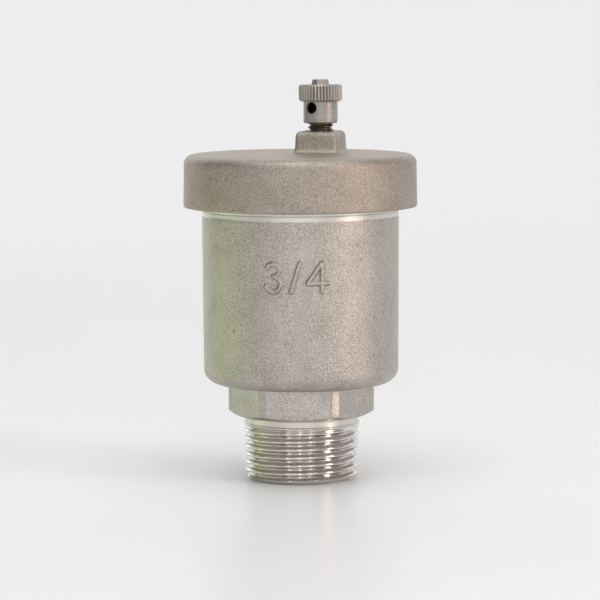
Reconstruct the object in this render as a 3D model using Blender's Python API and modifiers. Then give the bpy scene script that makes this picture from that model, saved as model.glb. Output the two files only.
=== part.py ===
"""Air release valve for the high point of a pipe, modelled in metres with +Z up.

A cast cup stands on a hexagon and a threaded inlet. The cover screws over its rim and carries a
square boss with the vent: a threaded nipple, a seat below it and a knurled cap that shuts it by
hand. Inside, a float hangs on a lever. It drops as air gathers, and the lever opens the seat.
The origin is the middle of the inlet's end face, on the axis of the cup.
"""

import math

import bmesh
import bpy
from mathutils import Matrix, Vector

# Inlet: a taper pipe thread of the 3/4 inch size, kept plain here
SPIGOT_RADIUS = 0.0133  # over the crests, where the thread ends
SPIGOT_TAPER = 1 / 32  # radius lost for each length towards the end
SPIGOT_LENGTH = 0.0145
RUNOUT_LENGTH = 0.0013
RUNOUT_DEPTH = 0.0003
SPIGOT_CHAMFER = 0.0012
INLET_RADIUS = 0.0091
INLET_CHAMFER = 0.0005

# Hexagon for the spanner
HEX_ACROSS_FLATS = 0.03
HEX_HEIGHT = 0.0076
HEX_CORNER_REACH = 0.01662  # its corners are turned off at this radius
HEX_CHAMFER = 0.0005
HEX_CHAMFER_ANGLE = math.radians(30)
HEX_TURN = math.radians(-3.1)

# Cup
CUP_BASE_RADIUS = 0.02216
CUP_DRAFT = 0.00021
CUP_HEIGHT = 0.0401  # from the top of the hexagon to the cover
CUP_WALL = 0.0028
CUP_FLOOR = 0.0033
CUP_FILLET = 0.0034
CHAMBER_FILLET = 0.0025
NECK_HEIGHT = 0.002  # turned band below the cover
NECK_CUT = 0.0001
RIM_CHAMFER = 0.0003

# Cover
COVER_HEIGHT = 0.01185
COVER_PLATE = 0.0036
COVER_SKIRT = 0.004
COVER_DRAFT = 0.00015
COVER_CROWN = 0.0001
COVER_EDGE_RADIUS = 0.00206
COVER_LIP_RADIUS = 0.0005
COVER_LIP_DEPTH = 0.0011
COVER_THREAD_STEP = 0.0007  # from the neck in to the thread of the cover
GASKET_THICKNESS = 0.001

# Square boss of the vent
BOSS_SIDE = 0.0098
BOSS_HEIGHT = 0.00505
BOSS_CORNER_RADIUS = 0.0006
BOSS_TOP_RADIUS = 0.0013
BOSS_FOOT_RADIUS = 0.0014
BOSS_DRAFT = 0.00015
BOSS_TURN = math.radians(-15)
VENT_ANGLE = math.radians(51.93)  # from +X, seen from the cup's axis

# Vent nipple, seat and hand cap
VENT_THREAD_RADIUS = 0.00297
VENT_PITCH = 0.001
TURNS_TO_CLOSE = 1.5
NIPPLE_STANDOUT = 0.00505
NIPPLE_BORE_RADIUS = 0.0011
NIPPLE_CHAMFER = 0.0004
SEAT_SHANK = 0.004
SEAT_ACROSS_FLATS = 0.007
SEAT_HEAD = 0.0016
SEAT_BORE_RADIUS = 0.0006
SEAT_WELL_RADIUS = 0.0013
NOZZLE_LENGTH = 0.001
NOZZLE_BASE_RADIUS = 0.0024
NOZZLE_TIP_RADIUS = 0.0012
WASHER_THICKNESS = 0.0005
WASHER_OVERHANG = 0.0004
CAP_GAP = 0.00175  # under the cap as it stands open
CAP_BARREL_RADIUS = 0.00391
CAP_BARREL_HEIGHT = 0.005
CAP_BARREL_EDGE = 0.0004
CAP_RING_RADIUS = 0.00495
CAP_RING_HEIGHT = 0.00375
CAP_RING_CHAMFER = 0.00035
CAP_NUB_ACROSS_FLATS = 0.0031
CAP_NUB_HEIGHT = 0.0012
CAP_NUB_FLARE = 0.00024
CAP_NUB_TURN = math.radians(12.5)
KNURL_RIDGES = 39
KNURL_DEPTH = 0.00028
SIDE_HOLE_RADIUS = 0.00125
SIDE_HOLE_DROP = 0.00145  # below the knurled ring
SIDE_HOLE_TURN = math.radians(-30.7)
CAP_SEAL_THICKNESS = 0.0013

# Lever, its pad and its pins
PIVOT_ROOM = 0.00624  # from the pivot to the chamber's wall
PAD_ARM = 0.0055  # from the pivot to the seat
LEVER_DROP = math.radians(12)  # below level, with the seat open
LEVER_WIDTH = 0.006
LEVER_SHEET = 0.0007
LEVER_BEND_RADIUS = 0.0008
LEVER_WEB_HEIGHT = 0.0026  # top of the web above the pivot
LEVER_CHEEK_DEPTH = 0.0019
LEVER_TAIL = 0.0023
FORK_LENGTH = 0.0031
FORK_TOP = 0.0015
FORK_TIP = 0.0019
PAD_RADIUS = 0.002
PAD_HEIGHT = 0.0012
PAD_NECK_RADIUS = 0.0012
PAD_FOOT_RADIUS = 0.0018
PAD_FOOT_HEIGHT = 0.0007
LEVER_PIN_RADIUS = 0.001
LINK_PIN_RADIUS = 0.0008
LINK_HEAD_RADIUS = 0.00125
LINK_HEAD = 0.0005
CLIP_THICKNESS = 0.0005
CLIP_RADIUS = 0.0021
CLIP_GROOVE_DEPTH = 0.00025
CLIP_MOUTH = math.radians(80)
PIN_END = 0.0004

# Bracket under the cover
BRACKET_SHEET = 0.0008
BRACKET_LENGTH = 0.005
BRACKET_BEND_RADIUS = 0.0009
BRACKET_WING = 0.0051
SCREW_RADIUS = 0.00125
SCREW_LENGTH = 0.0034
SCREW_HEAD_RADIUS = 0.0022
SCREW_HEAD = 0.0016
SCREW_HEAD_EDGE = 0.0006
SOCKET_ACROSS_FLATS = 0.0018
SOCKET_DEPTH = 0.0009

# Float and its stem
FLOAT_CLEARANCE = 0.0029
FLOAT_FLOOR_GAP = 0.0016
FLOAT_TOP_GAP = 0.001
FLOAT_WALL = 0.0004
FLOAT_EDGE_RADIUS = 0.004
FLOAT_JOGGLE = 0.0016
STEM_RADIUS = 0.0013
STEM_FOOT_RADIUS = 0.003
STEM_FOOT = 0.0008
EYE_RADIUS = 0.0018
EYE_WIDTH = 0.0036

# Clearances
SEAT_GAP = 0.00015  # between faces that rest on each other
RUNNING_GAP = 0.00012  # round a pin that turns
SIDE_GAP = 0.0003  # beside a piece that moves, and round a thread that is kept plain

BIG_SIDES = 56
FLOAT_SIDES = 40
SMALL_SIDES = 24
PIN_SIDES = 16
FILLET_STEPS = 3
CUT = 0.001  # how far a cutter reaches past the face it opens
AXIS_MARK = 0.01  # drawn size of the empties
SHARP_ANGLE = math.radians(32)

# Heights, from the inlet up
HEX_Z = SPIGOT_LENGTH
CUP_Z = HEX_Z + HEX_HEIGHT
FLOOR_Z = CUP_Z + CUP_FLOOR
COVER_Z = CUP_Z + CUP_HEIGHT
NECK_Z = COVER_Z - NECK_HEIGHT
SHOULDER_Z = COVER_Z + COVER_LIP_DEPTH - SIDE_GAP
COVER_TOP_Z = COVER_Z + COVER_HEIGHT
PLATE_Z = COVER_TOP_Z - COVER_PLATE
RIM_Z = PLATE_Z - GASKET_THICKNESS - 2 * SEAT_GAP
BOSS_Z = COVER_TOP_Z + BOSS_HEIGHT
CAP_Z = BOSS_Z + CAP_GAP
RING_Z = CAP_Z + CAP_BARREL_HEIGHT
NUB_Z = RING_Z + CAP_RING_HEIGHT
NIPPLE_Z = BOSS_Z + NIPPLE_STANDOUT
CAP_SEAL_Z = NIPPLE_Z + SEAT_GAP + TURNS_TO_CLOSE * VENT_PITCH

# Radii that follow from their neighbours
CHAMBER_RADIUS = CUP_BASE_RADIUS - CUP_WALL
CUP_TOP_RADIUS = CUP_BASE_RADIUS + CUP_DRAFT
NECK_RADIUS = CUP_TOP_RADIUS - NECK_CUT
LAND_RADIUS = NECK_RADIUS - COVER_THREAD_STEP
COVER_BORE_RADIUS = LAND_RADIUS + SIDE_GAP
LIP_BORE_RADIUS = NECK_RADIUS + SIDE_GAP
COVER_RADIUS = LIP_BORE_RADIUS + COVER_SKIRT
VENT_HOLE_RADIUS = VENT_THREAD_RADIUS + SIDE_GAP
FLOAT_RADIUS = CHAMBER_RADIUS - FLOAT_CLEARANCE

# Seat, pivot and bracket, down from the cover's plate
WASHER_Z = PLATE_Z - SEAT_GAP - WASHER_THICKNESS
SEAT_HEAD_Z = WASHER_Z - SEAT_GAP - SEAT_HEAD
NOZZLE_Z = SEAT_HEAD_Z - NOZZLE_LENGTH
PIVOT_Z = NOZZLE_Z - SEAT_GAP - PAD_HEIGHT - LEVER_WEB_HEIGHT
STOP_DROP = LEVER_CHEEK_DEPTH * math.cos(LEVER_DROP) + BRACKET_LENGTH / 2 * math.sin(LEVER_DROP)
STOP_Z = PIVOT_Z - STOP_DROP - SEAT_GAP
WING_Z = PLATE_Z - SEAT_GAP - BRACKET_SHEET
BRACKET_HALF_GAP = LEVER_WIDTH / 2 + SIDE_GAP
BRACKET_HALF_WIDTH = BRACKET_HALF_GAP + BRACKET_SHEET
SCREW_OFFSET = BRACKET_HALF_WIDTH + BRACKET_WING / 2
CLIP_OFFSET = BRACKET_HALF_WIDTH + SEAT_GAP

# Linkage: the lever's frame has X from the cup's axis to the pivot
PIVOT_REACH = CHAMBER_RADIUS - PIVOT_ROOM
VENT_REACH = PIVOT_REACH - PAD_ARM
VENT_X = VENT_REACH * math.cos(VENT_ANGLE)
VENT_Y = VENT_REACH * math.sin(VENT_ANGLE)
FLOAT_TRAVEL = PIVOT_REACH * LEVER_DROP
LINK_Z = PIVOT_Z - PIVOT_REACH * math.sin(LEVER_DROP)
FLOAT_Z = FLOOR_Z + FLOAT_FLOOR_GAP
FLOAT_TOP_Z = STOP_Z - BRACKET_SHEET - FLOAT_TRAVEL - FLOAT_TOP_GAP


def clear_scene():
    """Starts from an empty scene."""
    for obj in list(bpy.data.objects):
        bpy.data.objects.remove(obj)


def new_collection(name):
    collection = bpy.data.collections.new(name)
    bpy.context.scene.collection.children.link(collection)
    return collection


clear_scene()
PARTS = new_collection("air_release_valve")
CUTTERS = new_collection("cutters")


def new_material(name, colour, roughness, metallic):
    """A Principled material with one finish."""
    material = bpy.data.materials.new(name)
    material.use_nodes = True
    shader = material.node_tree.nodes["Principled BSDF"]
    shader.inputs["Base Color"].default_value = (*colour, 1)
    shader.inputs["Roughness"].default_value = roughness
    shader.inputs["Metallic"].default_value = metallic
    return material


def frame(name, location, turn=0, tilt=0):
    """An empty that carries pieces: turned about Z, then tilted about its own Y."""
    empty = bpy.data.objects.new(name, None)
    empty.empty_display_size = AXIS_MARK
    empty.location = location
    empty.rotation_euler = (0, tilt, turn)
    PARTS.objects.link(empty)
    return empty


def filleted(corners, closed=False, steps=FILLET_STEPS):
    """2D points through the corners, with an arc where a corner gives a radius as its third value."""
    points = []
    for index, (x, y, *radius) in enumerate(corners):
        corner = Vector((x, y))
        if not radius or not (closed or 0 < index < len(corners) - 1):
            points.append(corner)
            continue
        before = (Vector(corners[index - 1][:2]) - corner).normalized()
        after = (Vector(corners[(index + 1) % len(corners)][:2]) - corner).normalized()
        half_angle = before.angle(after) / 2
        centre = corner + (before + after).normalized() * radius[0] / math.sin(half_angle)
        reach = radius[0] / math.tan(half_angle)
        first = corner + before * reach - centre
        last = corner + after * reach - centre
        start = math.atan2(first.y, first.x)
        sweep = (math.atan2(last.y, last.x) - start + math.pi) % math.tau - math.pi
        for step in range(steps + 1):
            angle = start + sweep * step / steps
            points.append(centre + radius[0] * Vector((math.cos(angle), math.sin(angle))))
    return points


def add_object(name, mesh, collection=PARTS):
    obj = bpy.data.objects.new(name, mesh)
    collection.objects.link(obj)
    return obj


def add_bmesh(name, shape, collection):
    mesh = bpy.data.meshes.new(name)
    shape.to_mesh(mesh)
    shape.free()
    return add_object(name, mesh, collection)


def apply_modifiers(obj):
    """Makes the shape that the modifiers give the object's own mesh."""
    graph = bpy.context.evaluated_depsgraph_get()
    mesh = bpy.data.meshes.new_from_object(obj.evaluated_get(graph))
    obj.modifiers.clear()
    obj.data = mesh
    mesh.name = obj.name


def turned(name, profile, sides=SMALL_SIDES, collection=PARTS):
    """A solid turned about Z from (radius, height) points that run down its outer side.

    A profile that starts and ends on the axis gives a solid piece, any other is closed to a ring.
    """
    count = len(profile)
    edges = [(i, i + 1) for i in range(count - 1)]
    if profile[0][0] > 0:
        edges.append((count - 1, 0))
    mesh = bpy.data.meshes.new(name)
    mesh.from_pydata([(radius, 0, height) for radius, height in profile], edges, [])
    obj = add_object(name, mesh, collection)
    screw = obj.modifiers.new("Turn", "SCREW")
    screw.angle = math.tau
    screw.steps = screw.render_steps = sides
    screw.use_merge_vertices = True
    screw.merge_threshold = 1e-6
    apply_modifiers(obj)
    return obj


def rod(name, radius, start, end, sides=PIN_SIDES, collection=CUTTERS):
    """A cylinder between two points."""
    start, end = Vector(start), Vector(end)
    axis = end - start
    place = Matrix.Translation((start + end) / 2) @ axis.to_track_quat("Z", "Y").to_matrix().to_4x4()
    shape = bmesh.new()
    bmesh.ops.create_cone(
        shape, cap_ends=True, segments=sides, radius1=radius, radius2=radius,
        depth=axis.length, matrix=place,
    )
    return add_bmesh(name, shape, collection)


def hexagon(name, across_flats, bottom, top, turn=0.0, flare=0.0):
    """A hexagonal prism about Z with a corner towards +X, wider by its flare at the bottom."""
    shape = bmesh.new()
    place = Matrix.Translation((0, 0, (bottom + top) / 2)) @ Matrix.Rotation(turn - math.pi / 2, 4, "Z")
    radius = across_flats / 2 / math.cos(math.pi / 6)
    bmesh.ops.create_cone(
        shape, cap_ends=True, segments=6, radius1=radius + flare, radius2=radius,
        depth=top - bottom, matrix=place,
    )
    return add_bmesh(name, shape, CUTTERS)


def lofted(name, rings, collection=CUTTERS):
    """A solid through rings of equally many points, from the lowest to the highest."""
    count = len(rings[0])
    shape = bmesh.new()
    rows = [[shape.verts.new(point) for point in ring] for ring in rings]
    for lower, upper in zip(rows, rows[1:]):
        for i in range(count):
            j = (i + 1) % count
            shape.faces.new((lower[i], lower[j], upper[j], upper[i]))
    shape.faces.new(rows[0][::-1])
    shape.faces.new(rows[-1])
    return add_bmesh(name, shape, collection)


def plate(name, outline, thickness, place, collection=CUTTERS):
    """A flat outline in its X and Y with a thickness about their plane, moved by a matrix."""
    curve = bpy.data.curves.new(name, "CURVE")
    curve.dimensions = "2D"
    curve.fill_mode = "BOTH"
    curve.extrude = thickness / 2
    spline = curve.splines.new("POLY")
    spline.points.add(len(outline) - 1)
    for point, (x, y) in zip(spline.points, outline):
        point.co = (x, y, 0, 1)
    spline.use_cyclic_u = True
    guide = add_object(name, curve, collection)
    graph = bpy.context.evaluated_depsgraph_get()
    mesh = bpy.data.meshes.new_from_object(guide.evaluated_get(graph))
    bpy.data.objects.remove(guide)
    shape = bmesh.new()
    shape.from_mesh(mesh)
    bmesh.ops.remove_doubles(shape, verts=shape.verts, dist=1e-7)
    bmesh.ops.recalc_face_normals(shape, faces=shape.faces)
    shape.transform(place)
    bpy.data.meshes.remove(mesh)
    return add_bmesh(name, shape, collection)


def bent_sheet(name, section, thickness, start, end):
    """A sheet folded along X: an open (y, z) section from start to end, with its wall about it."""
    count = len(section)
    points = [(x, y, z) for x in (start, end) for y, z in section]
    faces = [(i, i + 1, count + i + 1, count + i) for i in range(count - 1)]
    mesh = bpy.data.meshes.new(name)
    mesh.from_pydata(points, [], faces)
    obj = add_object(name, mesh)
    wall = obj.modifiers.new("Wall", "SOLIDIFY")
    wall.thickness = thickness
    wall.offset = 0
    wall.use_even_offset = True
    apply_modifiers(obj)
    return obj


def combine(obj, operation, *others):
    """Joins, cuts or keeps what is common, one other object after another."""
    for other in others:
        boolean = obj.modifiers.new(other.name, "BOOLEAN")
        boolean.operation = operation
        boolean.solver = "EXACT"
        boolean.object = other
        apply_modifiers(obj)
    return obj


def finish(obj, material, parent=None):
    """Gives a piece its material, its smooth shading with sharp edges, and the frame it rides in."""
    mesh = obj.data
    mesh.materials.clear()
    mesh.materials.append(material)
    mesh.polygons.foreach_set("material_index", [0] * len(mesh.polygons))
    mesh.shade_smooth()
    mesh.set_sharp_from_angle(angle=SHARP_ANGLE)
    obj.parent = parent
    return obj


def mechanism_point(along, across, height):
    """A point in the lever's frame, as a point of the whole valve."""
    point = Matrix.Rotation(VENT_ANGLE, 3, "Z") @ Vector((along, across, 0))
    return point.x, point.y, height


def spigot_radius(height):
    """Radius over the thread's crests at a height."""
    return SPIGOT_RADIUS - (SPIGOT_LENGTH - RUNOUT_LENGTH - height) * SPIGOT_TAPER


def make_valve_body(material):
    """The cast cup, its hexagon and its threaded inlet, bored out to the chamber."""
    runout_radius = SPIGOT_RADIUS - RUNOUT_DEPTH
    runout_z = HEX_Z - RUNOUT_LENGTH
    body = turned("valve_body", filleted([
        (0, RIM_Z),
        (LAND_RADIUS - RIM_CHAMFER, RIM_Z),
        (LAND_RADIUS, RIM_Z - RIM_CHAMFER),
        (LAND_RADIUS, SHOULDER_Z),
        (NECK_RADIUS, SHOULDER_Z),
        (NECK_RADIUS, NECK_Z),
        (CUP_TOP_RADIUS, NECK_Z - NECK_CUT),
        (CUP_BASE_RADIUS, CUP_Z, CUP_FILLET),
        (runout_radius, CUP_Z),
        (runout_radius, runout_z),
        (SPIGOT_RADIUS, runout_z - RUNOUT_DEPTH),
        (spigot_radius(SPIGOT_CHAMFER), SPIGOT_CHAMFER),
        (spigot_radius(0) - SPIGOT_CHAMFER, 0),
        (0, 0),
    ]), BIG_SIDES)

    spanner = hexagon("spanner_hexagon", HEX_ACROSS_FLATS, HEX_Z, CUP_Z + CUP_FLOOR / 2, HEX_TURN)
    reach = HEX_CORNER_REACH
    slope = math.tan(HEX_CHAMFER_ANGLE)
    chamfer_z = HEX_Z + HEX_CHAMFER
    low_radius = HEX_ACROSS_FLATS / 2 - (HEX_CHAMFER + CUT / 2) / slope
    chamfer = turned("hexagon_chamfer", [
        Vector((0, FLOOR_Z)),
        Vector((reach, FLOOR_Z)),
        Vector((reach, chamfer_z + (reach - HEX_ACROSS_FLATS / 2) * slope)),
        Vector((low_radius, HEX_Z - CUT / 2)),
        Vector((0, HEX_Z - CUT / 2)),
    ], BIG_SIDES, CUTTERS)
    combine(spanner, "INTERSECT", chamfer)
    combine(body, "UNION", spanner)

    chamber = turned("chamber", filleted([
        (0, RIM_Z + CUT),
        (CHAMBER_RADIUS, RIM_Z + CUT),
        (CHAMBER_RADIUS, FLOOR_Z, CHAMBER_FILLET),
        (INLET_RADIUS, FLOOR_Z),
        (INLET_RADIUS, INLET_CHAMFER),
        (INLET_RADIUS + INLET_CHAMFER, 0),
        (INLET_RADIUS + INLET_CHAMFER, -CUT),
        (0, -CUT),
    ]), BIG_SIDES, CUTTERS)
    combine(body, "DIFFERENCE", chamber)
    return finish(body, material)


def rounded_square(half, corner_radius, height):
    """A ring of points round the boss: a square with rounded corners, turned as the boss is."""
    corners = [(half, -half), (half, half), (-half, half), (-half, -half)]
    outline = filleted([(x, y, corner_radius) for x, y in corners], closed=True)
    place = Matrix.Translation((VENT_X, VENT_Y, height)) @ Matrix.Rotation(BOSS_TURN, 4, "Z")
    return [place @ point.to_3d() for point in outline]


def make_boss():
    """The square boss: a flared foot, drafted sides and a rounded top edge."""
    quarter = [math.pi / 2 * step / FILLET_STEPS for step in range(FILLET_STEPS + 1)]
    top_z = BOSS_Z - BOSS_TOP_RADIUS
    offsets = [(BOSS_FOOT_RADIUS, COVER_TOP_Z - COVER_PLATE / 2)]
    for angle in quarter:
        out = BOSS_FOOT_RADIUS * (1 - math.sin(angle))
        offsets.append((out, COVER_TOP_Z + BOSS_FOOT_RADIUS * (1 - math.cos(angle))))
    for angle in quarter:
        back = BOSS_DRAFT + BOSS_TOP_RADIUS * (1 - math.cos(angle))
        offsets.append((-back, top_z + BOSS_TOP_RADIUS * math.sin(angle)))
    smallest = BOSS_CORNER_RADIUS / 4
    return lofted("boss", [
        rounded_square(BOSS_SIDE / 2 + out, max(BOSS_CORNER_RADIUS + out, smallest), height)
        for out, height in offsets
    ])


def make_cover(material):
    """The screwed cover: a crowned plate with a skirt, the boss, and holes for vent and bracket."""
    top_radius = COVER_RADIUS - COVER_DRAFT
    cover = turned("cover", filleted([
        (0, COVER_TOP_Z + COVER_CROWN),
        (top_radius / 2, COVER_TOP_Z + COVER_CROWN * 3 / 4),
        (top_radius, COVER_TOP_Z, COVER_EDGE_RADIUS),
        (COVER_RADIUS, COVER_Z, COVER_LIP_RADIUS),
        (LIP_BORE_RADIUS, COVER_Z),
        (LIP_BORE_RADIUS, COVER_Z + COVER_LIP_DEPTH),
        (COVER_BORE_RADIUS, COVER_Z + COVER_LIP_DEPTH),
        (COVER_BORE_RADIUS, PLATE_Z),
        (0, PLATE_Z),
    ]), BIG_SIDES)
    combine(cover, "UNION", make_boss())
    vent_hole = rod(
        "vent_hole", VENT_HOLE_RADIUS, (VENT_X, VENT_Y, PLATE_Z - CUT), (VENT_X, VENT_Y, BOSS_Z + CUT),
        SMALL_SIDES,
    )
    screw_holes = [
        rod(
            f"screw_hole_{index}", SCREW_RADIUS + SEAT_GAP,
            mechanism_point(PIVOT_REACH, across, PLATE_Z - CUT),
            mechanism_point(PIVOT_REACH, across, WING_Z - SEAT_GAP + SCREW_LENGTH + SIDE_GAP),
        )
        for index, across in enumerate((-SCREW_OFFSET, SCREW_OFFSET), 1)
    ]
    combine(cover, "DIFFERENCE", vent_hole, *screw_holes)
    return finish(cover, material)


def make_cover_gasket(material):
    """The flat ring between the rim and the cover's plate."""
    inner = CHAMBER_RADIUS + SEAT_GAP
    outer = LAND_RADIUS - SEAT_GAP
    bottom = RIM_Z + SEAT_GAP
    top = bottom + GASKET_THICKNESS
    ring = [Vector(point) for point in ((inner, top), (outer, top), (outer, bottom), (inner, bottom))]
    return finish(turned("cover_gasket", ring, BIG_SIDES), material)


def make_vent_nipple(material, vent):
    """The nipple that the hand cap screws on: plain where its thread is, and bored through."""
    bottom = PLATE_Z + SEAT_SHANK + CUT
    radius = VENT_THREAD_RADIUS
    return finish(turned("vent_nipple", [
        Vector((NIPPLE_BORE_RADIUS, NIPPLE_Z)),
        Vector((radius - NIPPLE_CHAMFER, NIPPLE_Z)),
        Vector((radius, NIPPLE_Z - NIPPLE_CHAMFER)),
        Vector((radius, bottom + NIPPLE_CHAMFER)),
        Vector((radius - NIPPLE_CHAMFER, bottom)),
        Vector((NIPPLE_BORE_RADIUS, bottom)),
    ]), material, vent)


def make_vent_seat(material, vent):
    """The seat that screws up into the boss: a shank, a hexagon head and the nozzle below it."""
    top = PLATE_Z + SEAT_SHANK
    head_middle = SEAT_HEAD_Z + SEAT_HEAD / 2
    seat = turned("vent_seat", [
        Vector((0, top)),
        Vector((VENT_THREAD_RADIUS, top)),
        Vector((VENT_THREAD_RADIUS, head_middle)),
        Vector((NOZZLE_BASE_RADIUS, head_middle)),
        Vector((NOZZLE_BASE_RADIUS, SEAT_HEAD_Z)),
        Vector((NOZZLE_TIP_RADIUS, NOZZLE_Z)),
        Vector((0, NOZZLE_Z)),
    ])
    head = hexagon("seat_head", SEAT_ACROSS_FLATS, SEAT_HEAD_Z, SEAT_HEAD_Z + SEAT_HEAD, turn=VENT_ANGLE)
    combine(seat, "UNION", head)
    bore = rod("seat_bore", SEAT_BORE_RADIUS, (0, 0, NOZZLE_Z - CUT), (0, 0, top))
    well = rod("seat_well", SEAT_WELL_RADIUS, (0, 0, PLATE_Z), (0, 0, top + CUT))
    combine(seat, "DIFFERENCE", bore, well)
    return finish(seat, material, vent)


def make_seat_washer(material, vent):
    """The sealing ring between the seat's head and the cover."""
    inner = VENT_THREAD_RADIUS + SEAT_GAP
    outer = SEAT_ACROSS_FLATS / 2 + WASHER_OVERHANG
    top = WASHER_Z + WASHER_THICKNESS
    ring = [Vector(point) for point in ((inner, top), (outer, top), (outer, WASHER_Z), (inner, WASHER_Z))]
    return finish(turned("seat_washer", ring), material, vent)


def knurled_ring(inset, height):
    """A ring of points round the knurl: ridges and the grooves between them, in turn."""
    half_pitch = math.pi / KNURL_RIDGES
    points = []
    for index in range(2 * KNURL_RIDGES):
        radius = CAP_RING_RADIUS - inset - (index % 2) * KNURL_DEPTH
        points.append((radius * math.cos(index * half_pitch), radius * math.sin(index * half_pitch), height))
    return points


def make_vent_cap(material, vent):
    """The hand cap: barrel, knurled ring and six-sided nub in one, bored, with its side hole."""
    ring_middle = RING_Z + CAP_RING_HEIGHT / 2
    cap = turned("vent_cap", filleted([
        (0, ring_middle),
        (CAP_BARREL_RADIUS, ring_middle),
        (CAP_BARREL_RADIUS, CAP_Z, CAP_BARREL_EDGE),
        (0, CAP_Z),
    ], steps=2))
    grip = lofted("grip_ring", [
        knurled_ring(CAP_RING_CHAMFER, RING_Z),
        knurled_ring(0, RING_Z + CAP_RING_CHAMFER),
        knurled_ring(0, NUB_Z - CAP_RING_CHAMFER),
        knurled_ring(CAP_RING_CHAMFER, NUB_Z),
    ])
    nub_base = NUB_Z - CAP_RING_CHAMFER
    flare = CAP_NUB_FLARE * (CAP_NUB_HEIGHT + CAP_RING_CHAMFER) / CAP_NUB_HEIGHT
    nub = hexagon("nub", CAP_NUB_ACROSS_FLATS, nub_base, NUB_Z + CAP_NUB_HEIGHT, CAP_NUB_TURN, flare)
    combine(cap, "UNION", grip, nub)
    ceiling = CAP_SEAL_Z + CAP_SEAL_THICKNESS + SEAT_GAP
    bore = rod("cap_bore", VENT_HOLE_RADIUS, (0, 0, CAP_Z - CUT), (0, 0, ceiling), SMALL_SIDES)
    hole_z = RING_Z - SIDE_HOLE_DROP
    out = Vector((math.sin(SIDE_HOLE_TURN), -math.cos(SIDE_HOLE_TURN), 0))
    side_hole = rod(
        "side_hole", SIDE_HOLE_RADIUS, out * CAP_BARREL_RADIUS / 2 + Vector((0, 0, hole_z)),
        out * (CAP_BARREL_RADIUS + CUT) + Vector((0, 0, hole_z)),
    )
    combine(cap, "DIFFERENCE", bore, side_hole)
    return finish(cap, material, vent)


def make_vent_cap_seal(material, vent):
    """The loose disc in the cap that the nipple's top meets when the cap is screwed down."""
    radius = VENT_HOLE_RADIUS - SEAT_GAP
    top = CAP_SEAL_Z + CAP_SEAL_THICKNESS
    disc = [Vector(point) for point in ((0, top), (radius, top), (radius, CAP_SEAL_Z), (0, CAP_SEAL_Z))]
    return finish(turned("vent_cap_seal", disc), material, vent)


def make_lever_bracket(material, mechanism):
    """The bracket: wings flat under the cover, cheeks for the pin and a web that stops the lever."""
    middle = BRACKET_HALF_WIDTH - BRACKET_SHEET / 2
    wing_z = WING_Z + BRACKET_SHEET / 2
    web_z = STOP_Z - BRACKET_SHEET / 2
    edge = BRACKET_HALF_WIDTH + BRACKET_WING
    bend = BRACKET_BEND_RADIUS
    start = PIVOT_REACH - BRACKET_LENGTH / 2
    bracket = bent_sheet("lever_bracket", filleted([
        (-edge, wing_z),
        (-middle, wing_z, bend),
        (-middle, web_z, bend),
        (middle, web_z, bend),
        (middle, wing_z, bend),
        (edge, wing_z),
    ]), BRACKET_SHEET, start, start + BRACKET_LENGTH)
    pin_hole = rod(
        "bracket_pin_hole", LEVER_PIN_RADIUS + RUNNING_GAP,
        (PIVOT_REACH, -edge, PIVOT_Z), (PIVOT_REACH, edge, PIVOT_Z),
    )
    screw_holes = [
        rod(
            f"bracket_screw_hole_{index}", SCREW_RADIUS + SEAT_GAP,
            (PIVOT_REACH, across, WING_Z - CUT), (PIVOT_REACH, across, PLATE_Z + CUT),
        )
        for index, across in enumerate((-SCREW_OFFSET, SCREW_OFFSET), 1)
    ]
    combine(bracket, "DIFFERENCE", pin_hole, *screw_holes)
    return finish(bracket, material, mechanism)


def make_bracket_screws(material, mechanism):
    """Two socket screws, head down, that hold the bracket's wings to the cover."""
    top = SCREW_HEAD + SCREW_LENGTH
    pattern = turned("bracket_screw_1", filleted([
        (0, top),
        (SCREW_RADIUS, top),
        (SCREW_RADIUS, SCREW_HEAD),
        (SCREW_HEAD_RADIUS, SCREW_HEAD),
        (SCREW_HEAD_RADIUS, 0, SCREW_HEAD_EDGE),
        (0, 0),
    ], steps=2), PIN_SIDES)
    combine(pattern, "DIFFERENCE", hexagon("screw_socket", SOCKET_ACROSS_FLATS, -CUT, SOCKET_DEPTH))
    screws = [pattern, add_object("bracket_screw_2", pattern.data)]
    for screw, across in zip(screws, (-SCREW_OFFSET, SCREW_OFFSET)):
        screw.location = (PIVOT_REACH, across, WING_Z - SEAT_GAP - SCREW_HEAD)
        finish(screw, material, mechanism)
    return screws


def make_lever_pin(material, mechanism):
    """The pivot pin, with a groove near each end for its clip."""
    radius = LEVER_PIN_RADIUS
    groove = radius - CLIP_GROOVE_DEPTH
    inside = CLIP_OFFSET - SEAT_GAP / 2
    outside = CLIP_OFFSET + CLIP_THICKNESS + SEAT_GAP / 2
    end = outside + PIN_END
    upper = [(radius, end), (radius, outside), (groove, outside), (groove, inside), (radius, inside)]
    lower = [(x, -y) for x, y in reversed(upper)]
    pin = turned("lever_pin", [Vector(point) for point in [(0, end), *upper, *lower, (0, -end)]], PIN_SIDES)
    pin.location = (PIVOT_REACH, 0, PIVOT_Z)
    pin.rotation_euler = (math.pi / 2, 0, 0)
    return finish(pin, material, mechanism)


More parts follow.
